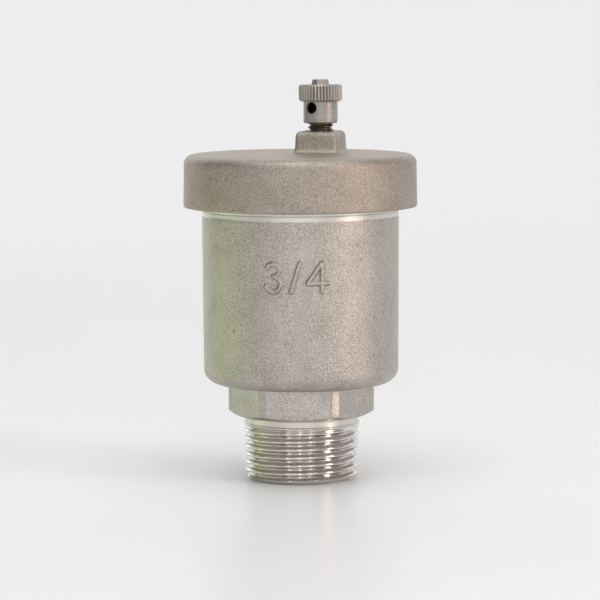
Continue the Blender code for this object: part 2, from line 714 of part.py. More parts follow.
def make_pin_clips(material, mechanism):
    """A spring clip in each groove of the pin: a flat ring with a mouth."""
    inner = LEVER_PIN_RADIUS - CLIP_GROOVE_DEPTH + RUNNING_GAP
    turns = [CLIP_MOUTH / 2 + (math.tau - CLIP_MOUTH) * step / PIN_SIDES for step in range(PIN_SIDES + 1)]
    outline = [Vector((CLIP_RADIUS * math.cos(a), CLIP_RADIUS * math.sin(a))) for a in turns]
    outline += [Vector((inner * math.cos(a), inner * math.sin(a))) for a in reversed(turns)]
    clips = []
    for index, side in enumerate((-1, 1), 1):
        across = side * (CLIP_OFFSET + CLIP_THICKNESS / 2)
        place = Matrix.Rotation(math.pi / 2, 4, "X")
        clip = plate(f"pin_clip_{index}", outline, CLIP_THICKNESS, place, PARTS)
        clip.location = (PIVOT_REACH, across, PIVOT_Z)
        clips.append(finish(clip, material, mechanism))
    return clips


def make_lever(material, pivot):
    """The lever: a folded channel, level when shut, forked at the float's end."""
    half = LEVER_WIDTH / 2 - LEVER_SHEET / 2
    web = LEVER_WEB_HEIGHT - LEVER_SHEET / 2
    near = PIVOT_REACH
    far = PIVOT_REACH / math.cos(LEVER_DROP)
    tip = far + FORK_TIP
    lever = bent_sheet("lever", filleted([
        (-half, -LEVER_CHEEK_DEPTH - CUT),
        (-half, web, LEVER_BEND_RADIUS),
        (half, web, LEVER_BEND_RADIUS),
        (half, -LEVER_CHEEK_DEPTH - CUT),
    ]), LEVER_SHEET, -tip - CUT, LEVER_TAIL + CUT)
    side = filleted([
        (LEVER_TAIL, -LEVER_CHEEK_DEPTH, LEVER_CHEEK_DEPTH * 0.8),
        (LEVER_TAIL, LEVER_WEB_HEIGHT + CUT),
        (-near + FORK_LENGTH, LEVER_WEB_HEIGHT + CUT),
        (-near + FORK_LENGTH, FORK_TOP),
        (-tip, FORK_TOP, FORK_TOP * 0.8),
        (-tip, -LEVER_CHEEK_DEPTH, LEVER_CHEEK_DEPTH * 0.8),
    ], closed=True)
    upright = Matrix.Rotation(math.pi / 2, 4, "X")
    combine(lever, "INTERSECT", plate("lever_side", side, 2 * LEVER_WIDTH, upright))
    slot_radius = LINK_PIN_RADIUS + SEAT_GAP
    slot = filleted([
        (-far - slot_radius, -slot_radius, slot_radius * 0.99),
        (-near + slot_radius, -slot_radius, slot_radius * 0.99),
        (-near + slot_radius, slot_radius, slot_radius * 0.99),
        (-far - slot_radius, slot_radius, slot_radius * 0.99),
    ], closed=True, steps=4)
    combine(
        lever, "DIFFERENCE",
        plate("link_slot", slot, 2 * LEVER_WIDTH, upright),
        rod("lever_pin_hole", LEVER_PIN_RADIUS + RUNNING_GAP, (0, -LEVER_WIDTH, 0), (0, LEVER_WIDTH, 0)),
        rod("pad_hole", PAD_NECK_RADIUS + SEAT_GAP, (-PAD_ARM, 0, 0), (-PAD_ARM, 0, LEVER_WEB_HEIGHT + CUT)),
    )
    return finish(lever, material, pivot)


def make_seal_pad(material, pivot):
    """The rubber pad that shuts the seat: a button pulled through the lever's web."""
    top = LEVER_WEB_HEIGHT + PAD_HEIGHT
    upper = LEVER_WEB_HEIGHT + SEAT_GAP
    lower = LEVER_WEB_HEIGHT - LEVER_SHEET - SEAT_GAP
    pad = turned("seal_pad", [
        Vector((0, top)),
        Vector((PAD_RADIUS, top)),
        Vector((PAD_RADIUS, upper)),
        Vector((PAD_NECK_RADIUS, upper)),
        Vector((PAD_NECK_RADIUS, lower)),
        Vector((PAD_FOOT_RADIUS, lower)),
        Vector((PAD_NECK_RADIUS, lower - PAD_FOOT_HEIGHT)),
        Vector((0, lower - PAD_FOOT_HEIGHT)),
    ], PIN_SIDES)
    pad.location = (-PAD_ARM, 0, 0)
    return finish(pad, material, pivot)


def shell(name, profile):
    """A thin pressed shell, turned from an open profile along the middle of its wall."""
    mesh = bpy.data.meshes.new(name)
    edges = [(i, i + 1) for i in range(len(profile) - 1)]
    mesh.from_pydata([(radius, 0, height) for radius, height in profile], edges, [])
    obj = add_object(name, mesh)
    screw = obj.modifiers.new("Turn", "SCREW")
    screw.angle = math.tau
    screw.steps = screw.render_steps = FLOAT_SIDES
    screw.use_merge_vertices = True
    screw.merge_threshold = 1e-6
    wall = obj.modifiers.new("Wall", "SOLIDIFY")
    wall.thickness = FLOAT_WALL
    wall.offset = 0
    wall.use_even_offset = True
    apply_modifiers(obj)
    return obj


def make_float_shells(material, carrier):
    """The float: an upper and a lower shell, the lower one's rim set in to enter the upper."""
    radius = FLOAT_RADIUS - FLOAT_WALL / 2
    inner = radius - FLOAT_WALL - SEAT_GAP
    seam = (FLOAT_Z + FLOAT_TOP_Z) / 2
    step = FLOAT_WALL + SEAT_GAP
    upper = shell("float_upper_shell", filleted([
        (0, FLOAT_TOP_Z - FLOAT_WALL / 2),
        (radius, FLOAT_TOP_Z - FLOAT_WALL / 2, FLOAT_EDGE_RADIUS),
        (radius, seam + SEAT_GAP),
    ]))
    lower = shell("float_lower_shell", filleted([
        (inner, seam + FLOAT_JOGGLE),
        (inner, seam - SEAT_GAP),
        (radius, seam - SEAT_GAP - step),
        (radius, FLOAT_Z + FLOAT_WALL / 2, FLOAT_EDGE_RADIUS),
        (0, FLOAT_Z + FLOAT_WALL / 2),
    ]))
    return [finish(half, material, carrier) for half in (upper, lower)]


def make_float_stem(material, carrier):
    """The stem on the float: a round foot, a rod and an eye for the link pin."""
    foot_z = FLOAT_TOP_Z + SEAT_GAP
    stem = turned("float_stem", [
        Vector((0, LINK_Z)),
        Vector((STEM_RADIUS, LINK_Z)),
        Vector((STEM_RADIUS, foot_z + STEM_FOOT)),
        Vector((STEM_FOOT_RADIUS, foot_z + STEM_FOOT)),
        Vector((STEM_FOOT_RADIUS, foot_z)),
        Vector((0, foot_z)),
    ], PIN_SIDES)
    eye = rod("stem_eye", EYE_RADIUS, (0, -EYE_WIDTH / 2, LINK_Z), (0, EYE_WIDTH / 2, LINK_Z), SMALL_SIDES)
    combine(stem, "UNION", eye)
    hole = rod("eye_hole", LINK_PIN_RADIUS + RUNNING_GAP, (0, -EYE_WIDTH, LINK_Z), (0, EYE_WIDTH, LINK_Z))
    combine(stem, "DIFFERENCE", hole)
    return finish(stem, material, carrier)


def make_link_pin(material, carrier):
    """The riveted pin through the stem's eye and the slots of the lever's fork."""
    inside = LEVER_WIDTH / 2 + SEAT_GAP
    end = inside + LINK_HEAD
    upper = [(LINK_HEAD_RADIUS, end), (LINK_HEAD_RADIUS, inside), (LINK_PIN_RADIUS, inside)]
    lower = [(x, -y) for x, y in reversed(upper)]
    pin = turned("link_pin", [Vector(point) for point in [(0, end), *upper, *lower, (0, -end)]], PIN_SIDES)
    pin.location = (0, 0, LINK_Z)
    pin.rotation_euler = (math.pi / 2, 0, 0)
    return finish(pin, material, carrier)


def build():
    """Makes every piece, each in the frame that carries it."""
    cast_steel = new_material("cast_steel", (0.47, 0.44, 0.40), 0.45, 1)
    turned_steel = new_material("turned_steel", (0.60, 0.58, 0.54), 0.28, 1)
    sheet_steel = new_material("sheet_steel", (0.56, 0.56, 0.56), 0.32, 1)
    rubber = new_material("rubber", (0.03, 0.03, 0.03), 0.7, 0)
    fibre = new_material("fibre", (0.20, 0.24, 0.22), 0.8, 0)

    vent = frame("vent_axis", (VENT_X, VENT_Y, 0))
    mechanism = frame("mechanism", (0, 0, 0), VENT_ANGLE)
    carrier = frame("float_axis", (0, 0, 0), VENT_ANGLE)
    pivot = frame("lever_axis", mechanism_point(PIVOT_REACH, 0, PIVOT_Z), VENT_ANGLE, -LEVER_DROP)

    make_valve_body(cast_steel)
    make_cover(cast_steel)
    make_cover_gasket(fibre)
    make_vent_nipple(turned_steel, vent)
    make_vent_seat(turned_steel, vent)
    make_seat_washer(fibre, vent)
    make_vent_cap(turned_steel, vent)
    make_vent_cap_seal(rubber, vent)
    make_lever_bracket(sheet_steel, mechanism)
    make_bracket_screws(turned_steel, mechanism)
    make_lever_pin(turned_steel, mechanism)
    make_pin_clips(sheet_steel, mechanism)
    make_lever(sheet_steel, pivot)
    make_seal_pad(rubber, pivot)
    make_float_shells(sheet_steel, carrier)
    make_float_stem(turned_steel, carrier)
    make_link_pin(turned_steel, carrier)

    for cutter in CUTTERS.objects:
        cutter.hide_render = True
        cutter.display_type = "WIRE"
    CUTTERS.hide_render = True


build()
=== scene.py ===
"""The looks of a cast air release valve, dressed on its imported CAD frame. Metres, +Z up.

The casting, the cover, the threaded nipple and the hand cap are new surfaces worked out on grids:
rows run along a profile and columns run round it. The inner pieces keep their CAD meshes and get
their finishes here. The origin is the middle of the inlet's end face.
"""

import math

import bmesh
import bpy
import numpy as np
from mathutils import Matrix, Vector


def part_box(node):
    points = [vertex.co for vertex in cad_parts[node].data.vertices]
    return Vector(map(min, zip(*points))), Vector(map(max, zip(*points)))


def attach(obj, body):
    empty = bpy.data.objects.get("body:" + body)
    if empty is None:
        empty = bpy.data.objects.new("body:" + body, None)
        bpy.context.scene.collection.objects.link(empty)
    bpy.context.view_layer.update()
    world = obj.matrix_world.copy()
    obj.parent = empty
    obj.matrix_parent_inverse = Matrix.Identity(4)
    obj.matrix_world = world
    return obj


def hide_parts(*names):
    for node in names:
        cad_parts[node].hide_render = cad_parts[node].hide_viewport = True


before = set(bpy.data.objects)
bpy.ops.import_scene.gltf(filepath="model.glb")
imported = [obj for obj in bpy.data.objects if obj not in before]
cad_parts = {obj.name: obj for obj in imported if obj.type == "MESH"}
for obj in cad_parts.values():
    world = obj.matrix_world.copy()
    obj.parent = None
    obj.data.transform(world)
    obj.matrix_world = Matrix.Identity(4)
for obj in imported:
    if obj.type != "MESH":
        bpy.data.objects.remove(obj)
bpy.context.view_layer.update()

# Places read from the frame
RIM_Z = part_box("valve_body")[1].z
COVER_LOW, COVER_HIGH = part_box("cover")
NIPPLE_LOW, NIPPLE_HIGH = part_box("vent_nipple")
CAP_LOW, CAP_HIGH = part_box("vent_cap")
SEAL_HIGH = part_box("vent_cap_seal")[1]
GASKET_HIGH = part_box("cover_gasket")[1]
COVER_Z = COVER_LOW.z
BOSS_Z = COVER_HIGH.z
NIPPLE_Z = NIPPLE_HIGH.z
CAP_Z = CAP_LOW.z
CAP_TOP_Z = CAP_HIGH.z
COVER_RADIUS = COVER_HIGH.x
VENT = np.array([(NIPPLE_LOW.x + NIPPLE_HIGH.x) / 2, (NIPPLE_LOW.y + NIPPLE_HIGH.y) / 2])
SEAT_GAP = 0.00015
SIDE_GAP = 0.0003

# Unevenness of the castings: its height, how many waves make it, and where their random draws start
CAST_WAVE = 0.00002
CAST_WAVE_COUNT = 14
BODY_WAVE_SEED = 3
COVER_WAVE_SEED = 8

# Roundings that several pieces share
SHARP_EDGE = 0.0001
FINE_EDGE = 0.00005
BROKEN_EDGE = 0.0002

# Inlet with its taper pipe thread
SPIGOT_LENGTH = 0.0145
SPIGOT_RADIUS = 0.0133
SPIGOT_TAPER = 1 / 32
SPIGOT_CHAMFER = 0.0012
PIPE_PITCH = 0.001814
PIPE_DEPTH = 0.00117
PIPE_FLANK = math.radians(28.5)
PIPE_CREST = 0.00019
PIPE_SOFTNESS = 0.00009
PIPE_THREAD_TURN = 0.69
PIPE_ROWS = 98
RUNOUT_LENGTH = 0.0013
RUNOUT_DEPTH = 0.0003
THREAD_FADE = 0.0012
INLET_RADIUS = 0.0091
INLET_CHAMFER = 0.0005
END_EDGE = 0.00012

# Hexagon
HEX_FLAT = 0.015
HEX_HEIGHT = 0.0076
HEX_CORNER_REACH = 0.01662
HEX_EDGE_SOFTNESS = 0.00006
HEX_EDGE_COLUMNS = (-0.0006, -0.0002, 0.0, 0.0002, 0.0006)
HEX_CHAMFER = 0.0004
HEX_CHAMFER_SLOPE = math.tan(math.radians(25))
HEX_TURN = math.radians(-3.1)
HEX_TOP_EDGE = 0.0005
HEX_LOW_EDGE = 0.00035
HEX_MARGIN = 0.0001

# Cup and its turned neck
CUP_BASE_RADIUS = 0.02216
CUP_DRAFT = 0.00021
CUP_WALL = 0.0028
CUP_FLOOR = 0.0033
CUP_FILLET = 0.0034
CHAMBER_FILLET = 0.0025
FLOOR_EDGE = 0.0006
RIM_EDGE = 0.0003
NECK_HEIGHT = 0.002
NECK_CUT = 0.0001
NECK_BLEND = 0.0003
NECK_FILLET = 0.0006
NECK_GROOVE_DROP = 0.0008
NECK_GROOVE_WIDTH = 0.00016
NECK_GROOVE_DEPTH = 0.00014
NECK_GROOVE_EDGE = 0.00003
COVER_LIP_DEPTH = 0.0011
COVER_THREAD_STEP = 0.0007
SKIN_BLEND = 0.0006
SKIN_START = 0.0008
HEX_POLISH = 0.7
CORNER_POLISH = 0.15
# Strengths of the shade painted into the colour round the figures' feet and on the thread's flanks
FIGURE_PAINTED_SHADE = 0.25
THREAD_PAINTED_SHADE = 0.4

# Raised pipe size on the front of the cup
FIGURE_BASE_Z = 0.0448
FIGURE_SIZE = 0.0063
FIGURE_RELIEF = 0.00052
STROKE_CORE = 0.00022
STROKE_EDGE = 0.00064
STROKE_SHADE = 0.00095
FIGURE_LEFT = math.radians(-23.5)
FIGURE_RIGHT = math.radians(19.5)
FIGURE_COLUMNS = 124
PLAIN_COLUMNS = 112
FIGURE_ROWS = 70
FIGURE_MARGIN = 0.0010

# Cover and its square boss
COVER_HEIGHT = 0.01185
COVER_DRAFT = 0.00015
COVER_CROWN = 0.0001
TOP_WAVE_SHARE = 0.7
COVER_EDGE_RADIUS = 0.00206
COVER_EDGE_SHARE = 0.93
COVER_LIP_RADIUS = 0.0005
COVER_BORE_EDGE = 0.00015
COVER_PLATE_EDGE = 0.0004
COVER_PLATE_RIM = 0.002
COVER_BORE_ROWS = 17
BOSS_SIDE = 0.00993
BOSS_CORNER_RADIUS = 0.00095
BOSS_TOP_RADIUS = 0.0013
BOSS_FOOT_RADIUS = 0.0014
BOSS_DRAFT = 0.00015
BOSS_TURN = math.radians(-15)
BOSS_SIDE_COLUMNS = 46
BOSS_CORNER_COLUMNS = 18

# Nipple
VENT_THREAD_RADIUS = 0.00297
VENT_PITCH = 0.001
VENT_DEPTH = 0.00057
VENT_FLANK = math.radians(30)
VENT_CREST = 0.00006
VENT_SOFTNESS = 0.0001
VENT_THREAD_TURN = 0.35
VENT_ROWS = 170
VENT_COLUMNS = 96
NIPPLE_BORE_RADIUS = 0.0011
NIPPLE_CHAMFER = 0.0004

# Hand cap
CAP_BARREL_RADIUS = 0.00391
CAP_BARREL_HEIGHT = 0.005
CAP_BARREL_EDGE = 0.0004
CAP_RING_RADIUS = 0.00495
CAP_RING_HEIGHT = 0.00375
CAP_RING_CHAMFER = 0.00035
CAP_RING_EDGE = 0.00008
CAP_MOUTH_CHAMFER = 0.00012
CAP_NUB_EDGE = 0.00012
CAP_NUB_FLAT = 0.00155
CAP_NUB_FLARE = 0.00024
CAP_NUB_TURN = math.radians(6.5)
KNURL_RIDGES = 39
KNURL_COLUMNS = 12
KNURL_DEPTH = 0.00028
KNURL_GROOVE = 0.42
KNURL_TURN = math.radians(-91)
SIDE_HOLE_RADIUS = 0.0013
SIDE_HOLE_DROP = 0.00145
SIDE_HOLE_TURN = math.radians(-33.1)
SIDE_HOLE_EDGE = 0.00005
WINDOW_COLUMNS = 34
WINDOW_ROWS = 20
WINDOW_REACH = 0.00162
WINDOW_DROP = 0.00011

# Heights and radii that follow
HEX_Z = SPIGOT_LENGTH
CUP_Z = HEX_Z + HEX_HEIGHT
FLOOR_Z = CUP_Z + CUP_FLOOR
NECK_Z = COVER_Z - NECK_HEIGHT
SHOULDER_Z = COVER_Z + COVER_LIP_DEPTH - SIDE_GAP
COVER_TOP_Z = COVER_Z + COVER_HEIGHT
PLATE_Z = GASKET_HIGH.z + SEAT_GAP
RING_Z = CAP_Z + CAP_BARREL_HEIGHT
NUB_Z = RING_Z + CAP_RING_HEIGHT
CHAMBER_RADIUS = CUP_BASE_RADIUS - CUP_WALL
CUP_TOP_RADIUS = CUP_BASE_RADIUS + CUP_DRAFT
NECK_RADIUS = CUP_TOP_RADIUS - NECK_CUT
LAND_RADIUS = NECK_RADIUS - COVER_THREAD_STEP
LIP_BORE_RADIUS = NECK_RADIUS + SIDE_GAP
COVER_BORE_RADIUS = LAND_RADIUS + SIDE_GAP
VENT_HOLE_RADIUS = VENT_THREAD_RADIUS + SIDE_GAP

# Stage and camera
PAPER_SIDE = 2.0
PAPER_FRONT = 2.6
PAPER_BEND = 0.9
PAPER_RADIUS = 0.5
PAPER_TOP = 2.0
LIT_POINT = (0, 0, 0.045)
CAMERA_PLACE = (-0.00019, -0.695, 0.11132)
CAMERA_PITCH = math.radians(84.206)
CAMERA_ROLL = math.radians(-0.285)
CAMERA_LENS = 183.86

# Faces that meet at more than this angle show a sharp edge
SHARP_ANGLE = math.radians(42)
FRONT = -math.pi / 2


# Grids, profiles and threads

class Patch:
    """A grid of points whose rows run along a profile and whose columns run round it.

    Its faces look outwards if the rows run down the outer side and the columns turn counter-clockwise
    as seen from above. `keep` leaves faces out, and each mark is a value for every point.
    """

    def __init__(self, points, wrap_rows=False, wrap_columns=True, keep=None, marks=None):
        self.points = points
        self.marks = marks or {}
        rows, columns = points.shape[:2]
        row = np.arange(rows if wrap_rows else rows - 1)[:, None]
        column = np.arange(columns if wrap_columns else columns - 1)[None, :]
        next_row = (row + 1) % rows
        next_column = (column + 1) % columns
        corners = [
            row * columns + column, next_row * columns + column,
            next_row * columns + next_column, row * columns + next_column,
        ]
        self.faces = np.stack(np.broadcast_arrays(*corners), -1)
        if keep is not None:
            self.faces = self.faces[keep]


def make_piece(name, patches, material, body, replaced):
    """Joins the patches into one mesh, welds what meets, shades it and lets it ride on a body."""
    start = np.cumsum([0] + [patch.points[..., 0].size for patch in patches])
    points = np.concatenate([patch.points.reshape(-1, 3) for patch in patches])
    faces = np.concatenate([patch.faces.reshape(-1, 4) + at for patch, at in zip(patches, start)])
    mesh = bpy.data.meshes.new(name)
    mesh.from_pydata(points, [], faces)
    for mark in patches[0].marks:
        values = [patch.marks.get(mark, np.zeros(patch.points.shape[:2])) for patch in patches]
        layer = mesh.attributes.new(mark, "FLOAT", "POINT")
        layer.data.foreach_set("value", np.concatenate([v.ravel() for v in values]).astype(np.float32))
    shape = bmesh.new()
    shape.from_mesh(mesh)
    bmesh.ops.remove_doubles(shape, verts=shape.verts, dist=1e-7)
    shape.to_mesh(mesh)
    shape.free()
    mesh.shade_smooth()
    mesh.set_sharp_from_angle(angle=SHARP_ANGLE)
    mesh.materials.append(material)
    obj = bpy.data.objects.new(name, mesh)
    bpy.context.scene.collection.objects.link(obj)
    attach(obj, body)
    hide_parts(replaced)
    return obj


def corner(radius, height, rounding=0.0, arc=4, rows=1):
    """A corner of a profile: its place, its rounding in `arc` steps, and the steps after it."""
    return radius, height, rounding, arc, rows


def profile_rows(corners, columns, closed=True):
    """Radius and height of every row, for every column, along a profile with rounded corners.

    Each corner's arc is the circle of its rounding that touches both straights. Its points are the
    spherical blend of the two spokes to where it touches. Straights are cut into equal steps.
    """
    spread = [[np.broadcast_to(value, columns) for value in item[:2]] for item in corners]
    places = np.array(spread, float)
    towards_last = np.roll(places, 1, axis=0) - places
    towards_next = np.roll(places, -1, axis=0) - places
    towards_last /= np.linalg.norm(towards_last, axis=1, keepdims=True)
    towards_next /= np.linalg.norm(towards_next, axis=1, keepdims=True)
    arcs = []
    for index, (_, _, rounding, steps, _) in enumerate(corners):
        place = places[index]
        at_end = not closed and index in (0, len(corners) - 1)
        if rounding == 0 or at_end:
            arcs.append(place[None])
            continue
        last, after = towards_last[index], towards_next[index]
        half = np.arccos(np.clip((last * after).sum(0), -1, 1)) / 2
        middle = last + after
        centre = place + middle / np.linalg.norm(middle, axis=0) * rounding / np.sin(half)
        reach = rounding / np.tan(half)
        first_spoke = place + last * reach - centre
        last_spoke = place + after * reach - centre
        sweep = math.pi - 2 * half
        share = np.linspace(0, 1, steps + 1)[:, None, None]
        blend = np.sin((1 - share) * sweep) * first_spoke + np.sin(share * sweep) * last_spoke
        arcs.append(centre + blend / np.sin(sweep))
    rows = []
    for index, arc in enumerate(arcs):
        rows.append(arc)
        steps = corners[index][4]
        if not closed and index == len(arcs) - 1:
            break
        share = np.linspace(0, 1, steps + 1)[1:-1, None, None]
        following = arcs[(index + 1) % len(arcs)][0]
        rows.append(arc[-1] + share * (following - arc[-1]))
    rows = np.concatenate(rows)
    return rows[:, 0], rows[:, 1]


def turned_points(radius, height, angle, centre=(0, 0)):
    """Points at a radius, a height and an angle about an upright axis."""
    x = centre[0] + radius * np.cos(angle)
    y = centre[1] + radius * np.sin(angle)
    return np.stack([x, y, np.broadcast_to(height, x.shape)], -1)


def soft_clip(value, top, softness):
    """The value held between 0 and top, with both bends rounded by a hyperbola."""
    above = (value + np.sqrt(value ** 2 + softness ** 2)) / 2
    left = top - above
    return top - (left + np.sqrt(left ** 2 + softness ** 2)) / 2


def thread_depth(angle, height, pitch, depth, flank, crest, softness, start_turn):
    """How far a right-hand thread lies below its crests.

    Its phase is height over pitch less the turn. The depth grows from the edge of the crest with the
    slope of the flank, and is clipped softly at the root.
    """
    phase = height / pitch - angle / math.tau - start_turn
    across = np.abs(phase - np.round(phase)) * pitch
    return soft_clip((across - crest) / math.tan(flank), depth, softness)


def cast_wave(angle, height, seed):
    """The slight unevenness of a casting: a sum of waves, each with whole turns round the axis."""
    chance = np.random.RandomState(seed)
    wave = 0
    for _ in range(CAST_WAVE_COUNT):
        turns = chance.randint(2, 17)
        rise = chance.uniform(-900, 900)
        wave = wave + np.cos(turns * angle + rise * height + chance.uniform(0, math.tau))
    return wave / CAST_WAVE_COUNT ** 0.5 * CAST_WAVE


def smooth_step(value, start, end):
    """0 before start and 1 after end, with a smooth rise between."""
    share = np.clip((value - start) / (end - start), 0, 1)
    return share ** 2 * (3 - 2 * share)


def six_sided(angle, flat, turn):
    """Radius round a hexagon with a corner at its turn: the flat's distance over the cosine."""
    sector = math.pi / 3
    return flat / np.cos((angle - turn) % sector - sector / 2)


def soft_min(first, second, softness):
    """The smaller of two values, with the bend where they meet rounded by a hyperbola."""
    return (first + second - np.sqrt((first - second) ** 2 + softness ** 2)) / 2


def arc_path(centre, radius, start, end, steps=18):
    """Points on an arc, with angles in degrees."""
    turn = np.radians(np.linspace(start, end, steps + 1))
    return np.stack([centre[0] + radius * np.cos(turn), centre[1] + radius * np.sin(turn)], -1)


def figure_paths():
    """Centre lines of a plain 3/4, across the cup's skin and up from the figures' base line."""
    upper = arc_path((-0.00613, 0.00477), 0.00141, 160, -90)
    lower = arc_path((-0.00613, 0.00168), 0.00168, 90, -162)
    slash = np.array([(-0.00213, 0.00003), (-0.00022, FIGURE_SIZE)])
    four = np.array([(0.00452, FIGURE_SIZE), (0.00152, 0.00186), (0.00582, 0.00186)])
    stem = np.array([(0.00470, FIGURE_SIZE), (0.00470, 0.00004)])
    return [upper, lower, slash, four, stem]


def distance_to_paths(across, up, paths):
    """Distance from each point to the nearest straight piece of any path."""
    nearest = np.full(across.shape, np.inf)
    for path in paths:
        for start, end in zip(path, path[1:]):
            along = end - start
            share = ((across - start[0]) * along[0] + (up - start[1]) * along[1]) / (along @ along)
            share = np.clip(share, 0, 1)
            gap = np.hypot(across - start[0] - share * along[0], up - start[1] - share * along[1])
            nearest = np.minimum(nearest, gap)
    return nearest


def figure_gap(angle, height):
    """Distance over the cup's skin to the nearest stroke's centre line."""
    across = CUP_BASE_RADIUS * (angle - FRONT)
    return distance_to_paths(across, height - FIGURE_BASE_Z, figure_paths())


def body_angles():
    """The columns' angles: close over the figures, wide round the rest, and some at each hexagon edge."""
    left, right = FRONT + FIGURE_LEFT, FRONT + FIGURE_RIGHT
    close = np.linspace(left, right, FIGURE_COLUMNS, endpoint=False)
    wide = np.linspace(right, left + math.tau, PLAIN_COLUMNS, endpoint=False)
    even = np.concatenate([close, wide])
    half_flat = math.acos(HEX_FLAT / HEX_CORNER_REACH)
    middles = HEX_TURN + (np.arange(6) + 0.5) * math.pi / 3
    edges = np.concatenate([middles - half_flat, middles + half_flat])
    edges = (edges - left) % math.tau + left
    nearest = np.abs(even[:, None] - edges).min(1)
    even = even[nearest > HEX_EDGE_COLUMNS[-1] * 1.3 / HEX_CORNER_REACH]
    at_edges = edges[:, None] + np.array(HEX_EDGE_COLUMNS) / HEX_CORNER_REACH
    return np.sort(np.concatenate([even, at_edges.ravel()]))


def spigot_radius(height):
    """Radius over the pipe thread's crests at a height."""
    return SPIGOT_RADIUS - (SPIGOT_LENGTH - RUNOUT_LENGTH - height) * SPIGOT_TAPER


# The four new pieces

